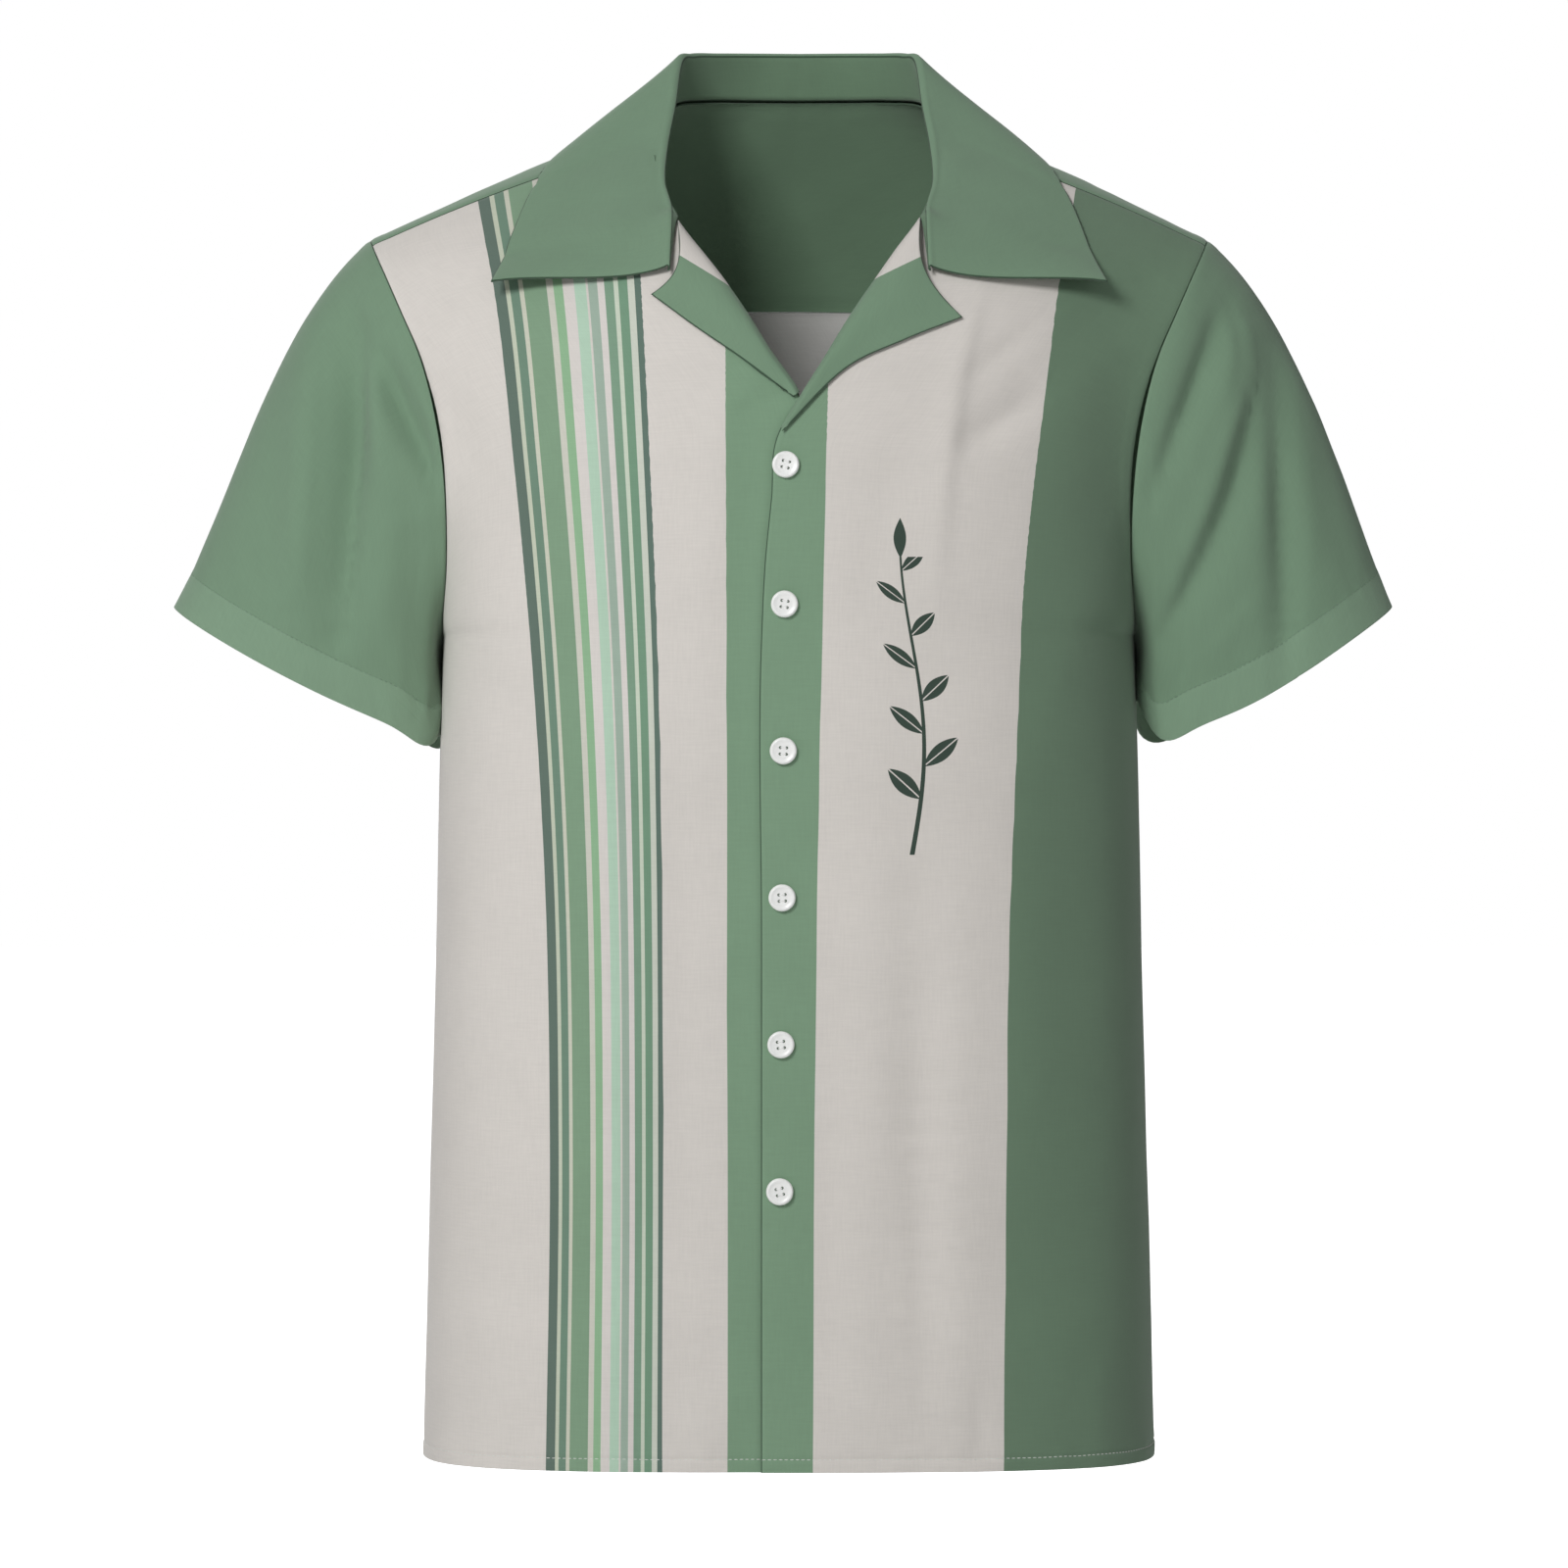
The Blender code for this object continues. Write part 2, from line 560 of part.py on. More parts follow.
def lapel_form(side, tree, u, v):
    """A lapel, u from the roll line to its free edge, v from the collar down to the break."""
    shape = through(LAPEL_EDGE[side], v)
    roll_z = shape[..., 0]
    line = through(FRONT_EDGE, roll_z)
    roll = points(line[..., 0 if side > 0 else 1], line[..., 2], roll_z)
    notch_x, notch_z = LAPEL_NOTCH[side]
    step_in = np.sin(np.pi * u) * np.clip(1 - v / 0.3, 0, 1)**2
    places = np.empty(roll.shape)
    for index in range(len(u)):
        x = roll[index, 0] + (shape[index, 1] - roll[index, 0]) * u[index]
        z = roll_z[index] + (shape[index, 2] - roll_z[index]) * u[index]
        x += -side * notch_x * step_in[index]
        z += notch_z * step_in[index]
        width = np.hypot(shape[index, 1] - roll[index, 0], shape[index, 2] - roll_z[index])
        turn = np.clip(u[index] * width / LAPEL_LAY, 0, 1) * np.pi / 2
        puff = LAPEL_PUFF * min(1, width / LAPEL_FULL_WIDTH)
        height = LAPEL_LAY * np.sin(turn) + puff * np.sin(np.pi * u[index]**0.55)**1.5
        depth = body_depth(tree, x, z)
        places[index] = (x, (depth if depth is not None else roll[index, 1]) - height, z)
    return places


# ---------------------------------------------------------------- objects

def cloth_material(name, colour, roughness):
    """A plain cloth finish."""
    finish = bpy.data.materials.new(name)
    finish.use_nodes = True
    shader = finish.node_tree.nodes["Principled BSDF"]
    shader.inputs["Base Color"].default_value = (*colour, 1.0)
    shader.inputs["Roughness"].default_value = roughness
    shader.inputs["Metallic"].default_value = 0.0
    return finish


def cloth_piece(name, sheet, finish, inside_out=False):
    """A named cloth piece: the sheet, given its wall on the inner side."""
    if inside_out:
        bmesh.ops.reverse_faces(sheet, faces=sheet.faces)
    mesh = bpy.data.meshes.new(name)
    sheet.to_mesh(mesh)
    sheet.free()
    mesh.shade_smooth()
    mesh.set_sharp_from_angle(angle=np.radians(40))
    mesh.materials.append(finish)
    piece = bpy.data.objects.new(name, mesh)
    bpy.context.scene.collection.objects.link(piece)
    wall = piece.modifiers.new("wall", "SOLIDIFY")
    wall.thickness = WALL * MM
    wall.offset = -1.0
    return piece


def button_mesh():
    """One four-hole button, turned from its profile and drilled, facing +Z."""
    radius = BUTTON_DIAMETER / 2
    profile = (
        # distance from the middle, height
        (0.0, 0.0),
        (radius - 1.6, 0.0),
        (radius, 1.1),
        (radius - 0.5, BUTTON_THICK - 0.3),
        (radius - 1.4, BUTTON_THICK),
        (radius - 2.4, BUTTON_THICK - 0.9),
        (0.0, BUTTON_THICK - 1.0),
    )
    turned = bmesh.new()
    ring = [turned.verts.new((out * MM, 0, height * MM)) for out, height in profile]
    edges = [turned.edges.new(pair) for pair in zip(ring, ring[1:])]
    bmesh.ops.spin(turned, geom=ring + edges, cent=(0, 0, 0), axis=(0, 0, 1),
                   angle=2 * np.pi, steps=20, use_merge=True)
    bmesh.ops.remove_doubles(turned, verts=turned.verts, dist=1e-6)
    bmesh.ops.recalc_face_normals(turned, faces=turned.faces)
    mesh = bpy.data.meshes.new("button")
    turned.to_mesh(mesh)
    turned.free()
    drill = bmesh.new()
    reach = BUTTON_HOLE_SPREAD / 2
    for x, y in ((reach, reach), (-reach, reach), (-reach, -reach), (reach, -reach)):
        bmesh.ops.create_cone(drill, cap_ends=True, segments=8, radius1=BUTTON_HOLE / 2 * MM,
                              radius2=BUTTON_HOLE / 2 * MM, depth=4 * BUTTON_THICK * MM,
                              matrix=Matrix.Translation((x * MM, y * MM, 0)))
    cutter_mesh = bpy.data.meshes.new("button_drill")
    drill.to_mesh(cutter_mesh)
    drill.free()
    blank = bpy.data.objects.new("button_blank", mesh)
    cutter = bpy.data.objects.new("button_drill", cutter_mesh)
    for thing in (blank, cutter):
        bpy.context.scene.collection.objects.link(thing)
    holes = blank.modifiers.new("holes", "BOOLEAN")
    holes.operation = "DIFFERENCE"
    holes.object = cutter
    drilled = blank.evaluated_get(bpy.context.evaluated_depsgraph_get())
    finished = bpy.data.meshes.new_from_object(drilled)
    for thing in (blank, cutter):
        bpy.data.objects.remove(thing, do_unlink=True)
    return finished


def place_buttons(tree, finish):
    """The buttons down the middle of the left front, each square to the cloth under it."""
    mesh = button_mesh()
    mesh.materials.clear()
    mesh.materials.append(finish)
    reach = BUTTON_DIAMETER / 2 - 1
    for count in range(BUTTON_COUNT):
        share = count / (BUTTON_COUNT - 1)
        x = BUTTON_TOP_X + (BUTTON_BOTTOM_X - BUTTON_TOP_X) * share
        z = BUTTON_FIRST_Z - (BUTTON_FIRST_PITCH + BUTTON_PITCH * (count - 1) if count else 0)
        above, below, middle, right, left = (
            body_depth(tree, x + across * reach, z + up * reach)
            for across, up in ((0, 1), (0, -1), (0, 0), (1, 0), (-1, 0)))
        proud = max(0, (above + below) / 2 - middle, (right + left) / 2 - middle)
        button = bpy.data.objects.new(f"button_{count + 1}", mesh)
        button.rotation_euler = (np.pi / 2 - np.arctan2(above - below, 2 * reach), 0,
                                 np.arctan2(right - left, 2 * reach))
        face = (above + below + right + left) / 4 - proud - SEAM_GAP
        button.location = Vector((x, face, z)) * MM
        bpy.context.scene.collection.objects.link(button)


def main():
    """Build every piece of the shirt."""
    for thing in list(bpy.data.objects):
        bpy.data.objects.remove(thing, do_unlink=True)
    green = cloth_material("sage green cotton", (0.17, 0.27, 0.19), 0.85)
    beige = cloth_material("oatmeal printed cotton", (0.68, 0.64, 0.60), 0.85)
    pearl = cloth_material("white button resin", (0.85, 0.85, 0.83), 0.35)

    tree = body_tree()
    armhole_columns = FRONT_COLUMNS + BACK_COLUMNS + YOKE_COLUMNS
    side_gap = SEAM_GAP / 2 / SIDE_SEAM[0][1]
    for side, name in ((1, "left"), (-1, "right")):
        panel = sheet_mesh(lambda u, v: front(side, u, v, LAPEL_ROLL), FRONT_ACROSS,
                           2 * FRONT_COLUMNS, u_range=(0, 1 - side_gap),
                           v_range=(0, 1 - SHOULDER_GAP))
        cloth_piece(f"front_{name}", panel, beige, inside_out=side < 0)
        tube = sheet_mesh(lambda u, v: sleeve(side, u, v), armhole_columns, SLEEVE_ALONG,
                          closed=True, v_range=(SLEEVE_GAP, 1))
        cloth_piece(f"sleeve_{name}", tube, green, inside_out=side < 0)
        lapel = sheet_mesh(lambda u, v: lapel_form(side, tree, u**LAPEL_CLOSER, v),
                           LAPEL_ACROSS, LAPEL_ALONG)
        cloth_piece(f"lapel_{name}", lapel, green, inside_out=side > 0)
    panel = sheet_mesh(back, BACK_ACROSS, 2 * BACK_COLUMNS,
                       u_range=(-1 + side_gap, 1 - side_gap),
                       v_range=(0, 1 - YOKE_GAP / 2))
    cloth_piece("back", panel, beige, inside_out=True)
    panel = sheet_mesh(yoke, BACK_ACROSS + 2 * YOKE_COLUMNS, YOKE_ALONG,
                       u_range=(-1 + YOKE_GAP / 2, 1 - YOKE_GAP / 2),
                       v_range=(YOKE_GAP, 1 - YOKE_GAP))
    cloth_piece("yoke", panel, green)
    collar = sheet_mesh(lambda u, v: collar_form(tree, u, v), COLLAR_ACROSS, COLLAR_ALONG,
                        u_range=(-1, 1))
    cloth_piece("collar", collar, green)
    place_buttons(tree, pearl)


if __name__ == "__main__":
    main()
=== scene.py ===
# %% [markdown]
# # A camp-collar shirt in printed cotton
#
# A short-sleeved shirt of fine cotton, filled out as it hangs on a wearer who isn't there.
# It is sewn from a few flat cuts: two fronts, a back, a yoke over the shoulders, two
# sleeves, a collar and the two facings that turn out as lapels. Each cut becomes one
# surface here, worked out from where its seams run in space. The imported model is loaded
# first, because every piece of the scene lies on one of its nodes, in the same metres. Two
# small helpers follow, for what Blender asks for each time a thing is made.

import bmesh
import bpy
import numpy as np
from mathutils import Matrix, Vector
from mathutils.bvhtree import BVHTree


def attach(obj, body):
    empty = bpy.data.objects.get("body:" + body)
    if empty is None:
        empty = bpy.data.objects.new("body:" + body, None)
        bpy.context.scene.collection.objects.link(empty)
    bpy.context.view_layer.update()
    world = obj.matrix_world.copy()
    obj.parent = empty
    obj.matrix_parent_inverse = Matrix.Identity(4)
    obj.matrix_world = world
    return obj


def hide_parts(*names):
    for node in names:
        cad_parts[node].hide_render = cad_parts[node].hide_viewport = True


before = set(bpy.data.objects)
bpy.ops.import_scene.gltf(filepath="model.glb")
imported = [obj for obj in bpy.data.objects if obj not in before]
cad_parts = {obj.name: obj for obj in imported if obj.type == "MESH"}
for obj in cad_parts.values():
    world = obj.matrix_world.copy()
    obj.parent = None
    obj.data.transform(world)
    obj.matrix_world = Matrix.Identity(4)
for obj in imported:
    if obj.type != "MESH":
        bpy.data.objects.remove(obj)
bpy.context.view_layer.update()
MM = 0.001
print("nodes:", ", ".join(sorted(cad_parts)))


def placed(name, data):
    """A new object for a mesh, a lamp or a camera, in the scene."""
    thing = bpy.data.objects.new(name, data)
    bpy.context.scene.collection.objects.link(thing)
    return thing


def meshed(name, build):
    """A finished bmesh as a new mesh; the bmesh is freed."""
    mesh = bpy.data.meshes.new(name)
    build.to_mesh(mesh)
    build.free()
    return mesh

# %% [markdown]
# ## The camera
#
# The shirt is seen level from the front, from far off, so that its sides hardly converge.
# A long lens 4 m away does that. A short lens close by would swell the chest.

# %% Camera
camera_data = bpy.data.cameras.new("front camera")
camera_data.sensor_width = 36.0
camera_data.lens = 165.9
camera = placed("front camera", camera_data)
camera.location = (-0.0027, -4.0, -0.358)
camera.rotation_euler = (np.pi / 2, 0.0, 0.0)
bpy.context.scene.camera = camera
print("camera at", tuple(round(part, 3) for part in camera.location))

# %% [markdown]
# ## Helpers for finishes
#
# A finish is a small tree of nodes. One helper adds a node and fills its sockets, either
# with a value or with what another node gives. Colours are picked as they look on a
# screen, as sRGB hex, and the renderer wants them linear, so one function turns them.

# %% One colour function and one node function
def linear(colour, alpha=1.0):
    """An sRGB hex colour as linear red, green, blue and alpha."""
    parts = [int(colour[start:start + 2], 16) / 255 for start in (1, 3, 5)]
    return (*(part / 12.92 if part <= 0.04045 else ((part + 0.055) / 1.055)**2.4
              for part in parts), alpha)


def add(tree, kind, settings=None, sockets=None):
    """A new node; each socket takes a value, or the output of another node."""
    node = tree.nodes.new(kind)
    for name, value in (settings or {}).items():
        setattr(node, name, value)
    for name, value in (sockets or {}).items():
        if isinstance(value, bpy.types.NodeSocket):
            tree.links.new(value, node.inputs[name])
        else:
            node.inputs[name].default_value = value
    return node


def blank_finish(name):
    """A new material with an empty tree, and its tree."""
    finish = bpy.data.materials.new(name)
    finish.use_nodes = True
    finish.node_tree.nodes.clear()
    return finish, finish.node_tree


print("helpers ready")

# %% [markdown]
# ## Studio
#
# The shirt hangs over a pale floor in a white room. One large lamp high in front, a
# little to the left, gives it its form: cloth that faces the lamp is lightest, and both
# sides fall off into soft shade. The room is white to look at but lights the shirt only
# gently, because light from all round would flatten every fold.

# %% Floor, room and lamps
FLOOR_Z, FLOOR_SIZE = -0.9, 40.0
floor_sheet = bmesh.new()
bmesh.ops.create_grid(floor_sheet, x_segments=4, y_segments=4, size=FLOOR_SIZE / 2)
bmesh.ops.translate(floor_sheet, vec=(0, 0, FLOOR_Z), verts=floor_sheet.verts)
floor_mesh = meshed("studio floor", floor_sheet)
placed("studio_floor", floor_mesh)

# Matt white paint. What the camera sees of it glows a little, so that it stays white.
floor_paint, tree = blank_finish("matt white floor paint")
mottle = add(tree, "ShaderNodeTexNoise", sockets={"Scale": 3.0, "Detail": 2.0})
shade = add(tree, "ShaderNodeMix", {"data_type": "RGBA"}, {
    0: mottle.outputs["Fac"], 6: (0.86, 0.86, 0.86, 1), 7: (0.92, 0.92, 0.92, 1)})
ray = add(tree, "ShaderNodeLightPath")
surface = add(tree, "ShaderNodeBsdfPrincipled", sockets={
    "Base Color": shade.outputs[2], "Roughness": 0.95,
    "Emission Color": (1, 1, 1, 1), "Emission Strength": ray.outputs["Is Camera Ray"]})
add(tree, "ShaderNodeOutputMaterial", sockets={"Surface": surface.outputs[0]})
floor_mesh.materials.append(floor_paint)

ROOM_LIGHT = 0.20
room = bpy.data.worlds.new("white room")
room.use_nodes = True
tree = room.node_tree
tree.nodes.clear()
ray = add(tree, "ShaderNodeLightPath")
strength = add(tree, "ShaderNodeMapRange", sockets={
    "Value": ray.outputs["Is Camera Ray"], "To Min": ROOM_LIGHT, "To Max": 1.0})
white = add(tree, "ShaderNodeBackground", sockets={"Color": (1, 1, 1, 1),
                                                   "Strength": strength.outputs[0]})
add(tree, "ShaderNodeOutputWorld", sockets={"Surface": white.outputs[0]})
bpy.context.scene.world = room

LAMPS = (
    # name, place, what it faces, side in metres, watts
    ("key lamp", (-1.35, -2.65, 1.30), (0.0, 0.0, -0.22), 1.0, 63.0),
    ("fill lamp", (1.9, -2.6, 0.2), (0.0, 0.0, -0.35), 1.6, 4.0),
    ("back lamp", (-0.6, 2.6, 1.6), (0.0, 0.0, -0.30), 1.6, 34.0),
)
for name, place, target, side, watts in LAMPS:
    lamp_data = bpy.data.lights.new(name, "AREA")
    lamp_data.energy, lamp_data.size = watts, side
    lamp = placed(name, lamp_data)
    lamp.location = place
    lamp.rotation_euler = (Vector(target) - Vector(place)).to_track_quat("-Z", "Y").to_euler()
bpy.context.scene.view_settings.view_transform = "Standard"
print("lamps:", ", ".join(row[0] for row in LAMPS))

# %% [markdown]
# ## The cut, in millimetres
#
# A pattern cutter's numbers come first: how long and wide the shirt hangs, where its
# armholes, neck and overlap run. They are the same sizes that the solid model was built
# from, so a piece made from them lies where its node is. +X is the wearer's left, -Y the
# front, +Z up, and the origin is the middle of the neck.

# %% Sizes of the body
HEM_Z, ARMPIT_Z = -727.0, -276.0
ARMPIT_ROW = 0.50       # fraction of a panel's rows that lies below the underarm
NECK_X = 5.5            # the neck hangs this far to the wearer's left of the hem's middle
SIDE_SEAM = (
    # height, half width
    (-727, 202.0),
    (-600, 198.8),
    (-450, 195.0),
    (-340, 192.8),
    (-276, 191.0),
)

# The armhole is an upright oval. Angle 0 is the shoulder tip, 90 the front, 180 the underarm.
ARM_Y, ARM_Z = 3.0, -166.5
ARM_HALF_DEPTH, ARM_HALF_HEIGHT = 66.0, 109.5
FRONT_SEAM_ANGLE, BACK_SEAM_ANGLE = 15.6, -47.5
ARMHOLE_WIDTH = (
    # height, half the distance between the two armholes
    (-276, 191.0),
    (-240, 187.5),
    (-207, 187.3),
    (-168, 191.0),
    (-145, 195.5),
    (-123, 202.0),
    (-100, 212.0),
    (-80, 221.0),
    (-61, 229.8),
    (-57, 231.5),
)

# Inner edge of each front: the overlap, then the roll line of the lapel, then the neck seam.
FRONT_EDGE = (
    # height, x of the left front, x of the right front, y
    (-727, -15.0, 9.0, -130.0),
    (-440, -15.0, 9.0, -129.0),
    (-281, -15.0, 9.0, -127.5),
    (-239, -13.0, 9.0, -125.5),
    (-204, -9.6, 9.0, -122.5),
    (-171, -6.4, 9.0, -118.7),
    (-149, 5.8, 6.5, -114.5),
    (-123, 21.8, -10.2, -105.0),
    (-103, 34.0, -22.3, -97.0),
    (-85, 46.0, -34.5, -87.5),
    (-68, 57.5, -47.2, -76.0),
    (-50, 70.5, -60.5, -61.0),
    (-36, 78.0, -67.0, -45.0),
    (-19, 84.0, -73.0, -27.0),
    (-3, 85.5, -74.5, -8.0),
)
SHOULDER_Z = FRONT_EDGE[-1][0]
BREAK_Z, COLLAR_Z = -166.0, -32.0   # from here to here the edge is the roll of the lapel
ROLL_FADE = 15.0
UNDERLAP_EASE, UNDERLAP_FLAT, UNDERLAP_DIP = 36.0, 8.0, 2.5
NECK_SEAM = (
    # run from the middle of the back, out from the middle, y, z
    (0.00, 0.0, 70.0, 25.5),
    (0.18, 27.0, 68.0, 25.5),
    (0.36, 51.0, 56.0, 24.5),
    (0.52, 68.0, 36.0, 21.0),
    (0.66, 77.0, 14.0, 10.5),
    (0.78, 80.0, -8.0, -3.0),
    (0.88, 78.5, -27.0, -19.0),
    (0.95, 72.5, -45.0, -36.0),
    (1.00, 65.5, -61.0, -50.0),
)
NECK_SHOULDER_RUN = 0.78
print(f"length {-HEM_Z:.0f} mm, half width at the hem {SIDE_SEAM[0][1]:.0f} mm")

# %% [markdown]
# Between two seams a row of cloth bows like a bent ruler. A Bezier curve draws that with
# two handles: how far each reaches along the row, how it leans forwards, and how it dips.

# %% How the rows of each panel bow
SHOULDER_BOW = (0.34, -1.0, 0.25, 0.34, 2.0, 0.42)
FRONT_ROWS = (
    # row, height of inner end, start reach, lean, dip, end reach, lean, dip
    (0.00, -727, 0.80, 0.0, 0.33, 0.00, 108.0, 0.33),
    (0.25, -500, 0.78, 0.0, 0.33, 0.00, 102.0, 0.33),
    (0.43, -340, 0.75, 0.0, 0.33, 0.00, 95.0, 0.33),
    (0.50, -276, 0.72, 0.0, 0.33, 0.00, 88.0, 0.33),
    (0.60, -226, 0.66, 0.0, 0.30, 0.03, 58.0, 0.30),
    (0.70, -180, 0.58, 0.0, 0.30, 0.12, 38.0, 0.30),
    (0.80, -128, 0.48, 0.0, 0.30, 0.25, 26.0, 0.30),
    (0.90, -72, 0.40, -2.0, 0.30, 0.32, 14.0, 0.33),
    (1.00, SHOULDER_Z, *SHOULDER_BOW),
)
BACK_ROWS = (
    # row, height at the middle, start reach, lean, dip, end reach, lean, dip
    (0.00, -727, 0.80, 0.0, 0.33, 0.00, -106.0, 0.33),
    (0.25, -500, 0.78, 0.0, 0.33, 0.00, -102.0, 0.33),
    (0.43, -340, 0.75, 0.0, 0.33, 0.00, -98.0, 0.33),
    (0.50, -276, 0.72, 0.0, 0.33, 0.00, -90.0, 0.33),
    (0.66, -210, 0.66, 0.0, 0.30, 0.03, -60.0, 0.30),
    (0.83, -148, 0.58, 0.0, 0.30, 0.15, -42.0, 0.30),
    (1.00, -89, 0.50, 0.0, 0.30, 0.30, -30.0, 0.30),
)
BACK_MIDDLE = (
    # height, y of the middle of the back
    (-727, 127.0),
    (-440, 128.0),
    (-276, 131.0),
    (-180, 130.0),
    (-89, 121.0),
)
YOKE_CORNER = 13 / 19    # run round the yoke where its lower seam meets the armhole
YOKE_ROWS = (
    # run round the neck, start reach, lean, dip, end reach, lean, dip
    (0.00, 0.33, 21.7, 0.24, 0.33, 6.0, 0.35),
    (0.34, 0.33, 19.0, 0.24, 0.22, 6.0, 0.35),
    (0.68, 0.33, 14.0, 0.20, 0.30, -6.0, 0.38),
    (0.84, 0.33, 6.0, 0.20, 0.33, -1.0, 0.42),
    (1.00, *SHOULDER_BOW),
)
SLEEVE_HEM = {
    # side: outer x, outer z, inner x, inner z, sag between them, lean of the sag inwards
    1: (332.6, -260.0, 195.0, -311.0, 23.0, 0.6),
    -1: (-339.0, -260.5, -195.0, -329.0, 9.0, 0.2),
}
SLEEVE_HEM_HALF_DEPTH, SLEEVE_SAG_ROUND = 47.0, 1.2
SLEEVE_FLAT_UNDER = 0.5         # how squarely the hem turns in beside the body
SLEEVE_CORNER = {1: (146, 10), -1: (156, 7)}     # degrees round the hem, mm below the solid's
SLEEVE_CORNER_SPREAD = 18       # degrees to each side of it
SLEEVE_TOP_WAY, SLEEVE_UNDER_WAY = (0.78, 0.0, -0.62), (0.46, 0.0, -0.89)
SLEEVE_START_REACH, SLEEVE_END_REACH, SLEEVE_FOLD_EASE = 0.27, 0.33, 0.07
SLEEVE_SHARES = (12, 12, 6)      # of its top edge: the front's, the back's and the yoke's
SEAM_GAP = 0.3
print("rows: front", len(FRONT_ROWS), "back", len(BACK_ROWS), "yoke", len(YOKE_ROWS))

# %% [markdown]
# Soft folds are what tells cloth from sheet metal. Simulated drape would be possible, but
# it wouldn't fall in the photographed creases, so each fold is given as a curved line with
# its own width and depth: a trough below zero, a ridge above it. No two are alike in
# length or depth. The tables named folds hold the large ones, which the solid model has
# too, though shallower on the sleeves; those named creases hold the finer ones.

# %% Folds, as seen from the front: three points, width each side of the line, depth
FRONT_FOLDS = {
    1: (
        (206, -76, 176, -104, 132, -138, 13, 13, -3.6),
        (150, -132, 118, -158, 88, -180, 12, 12, -3.0),
        (186, -120, 183, -165, 176, -225, 20, 20, -4.0),
        (95, -330, 92, -520, 90, -727, 22, 22, 3.0),
        (72, -420, 69, -600, 68, -727, 14, 14, -3.0),
        (46, -300, 44, -520, 42, -727, 20, 20, 2.0),
    ),
    -1: (
        (-194, -130, -172, -180, -140, -225, 18, 18, -3.5),
        (-104, -330, -104, -520, -100, -727, 30, 30, 2.5),
        (-52, -330, -54, -520, -52, -727, 22, 22, -2.5),
    ),
}
FRONT_CREASES = {
    1: (
        (190, -92, 160, -118, 118, -152, 8, 14, 1.8),
        (140, -104, 118, -122, 94, -142, 6, 9, -1.7),
        (134, -150, 112, -163, 92, -176, 5, 8, -1.3),
        (105, -92, 90, -155, 80, -262, 10, 5, 2.0),
        (60, -560, 62, -640, 64, -718, 7, 11, 1.3),
        (150, -330, 156, -450, 152, -640, 22, 30, -2.2),
        (120, -360, 126, -480, 124, -600, 18, 22, 1.5),
        (168, -235, 150, -300, 128, -360, 14, 20, 1.8),
        (22, -500, 20, -600, 22, -700, 14, 10, -1.1),
        (66, -150, 52, -210, 40, -282, 12, 16, -1.1),
        (172, -660, 168, -700, 170, -724, 8, 10, 1.3),
        (104, -676, 102, -706, 104, -724, 5, 7, -1.0),
    ),
    -1: (
        (-194, -139, -188, -153, -176, -170, 5, 8, -1.3),
        (-30, -161, -20, -155, -4, -149, 4, 6, -1.3),
        (-164, -330, -170, -470, -166, -640, 20, 26, 2.1),
        (-136, -420, -130, -560, -134, -700, 16, 22, -1.8),
        (-76, -300, -78, -420, -74, -560, 14, 18, 1.4),
        (-170, -215, -150, -275, -124, -330, 14, 20, 1.4),
        (-34, -560, -30, -640, -32, -720, 8, 12, 1.1),
        (-118, -150, -112, -220, -114, -300, 16, 20, -1.3),
        (-180, -650, -176, -696, -178, -724, 8, 10, -1.1),
        (-88, -684, -90, -708, -88, -724, 6, 8, 1.0),
    ),
}
BACK_FOLDS = (
    (-178, -150, -150, -215, -112, -290, 20, 20, -4.0),
    (178, -145, 152, -220, 118, -300, 20, 20, -4.0),
    (-95, -330, -102, -520, -108, -727, 30, 30, 3.5),
    (-38, -300, -42, -500, -50, -727, 26, 26, -3.5),
    (30, -320, 36, -520, 44, -727, 28, 28, 3.5),
    (100, -340, 104, -540, 106, -727, 28, 28, -3.5),
)
BACK_CREASES = (
    (-160, -120, -128, -150, -84, -186, 9, 14, -2.8),
    (164, -128, 134, -162, 96, -204, 10, 14, -3.2),
    (-150, -250, -120, -310, -80, -350, 12, 18, 2.5),
    (156, -262, 130, -330, 96, -384, 12, 18, 2.8),
    (-66, -100, -60, -150, -64, -220, 10, 14, 1.9),
    (52, -98, 56, -160, 50, -236, 12, 15, 2.1),
    (-8, -420, -4, -560, -10, -700, 14, 20, 2.3),
    (-150, -420, -156, -540, -150, -690, 18, 24, -2.7),
    (150, -440, 158, -560, 154, -700, 18, 22, 2.8),
    (70, -560, 72, -640, 76, -722, 10, 14, -1.9),
    (-124, -600, -120, -670, -124, -722, 9, 13, 1.7),
    (24, -108, 14, -190, 20, -280, 13, 17, -1.7),
)
SLEEVE_FOLDS = {
    1: (
        (240, -92, 223, -138, 199, -198, 6, 9, -7.4),
        (256, -100, 246, -185, 204, -278, 7, 12, -6.6),
        (270, -94, 272, -190, 271, -304, 9, 9, -8.6),
        (250, -110, 238, -180, 208, -250, 8, 7, 3.2),
    ),
    -1: (
        (-243, -90, -238, -160, -246, -274, 12, 8, -13.0),
        (-230, -114, -211, -153, -190, -196, 8, 9, -10.5),
        (-206, -212, -202, -260, -203, -324, 12, 12, -4.4),
        (-267, -108, -267, -190, -268, -272, 11, 9, 5.2),
        (-236, -108, -228, -155, -214, -214, 8, 8, 2.6),
    ),
}
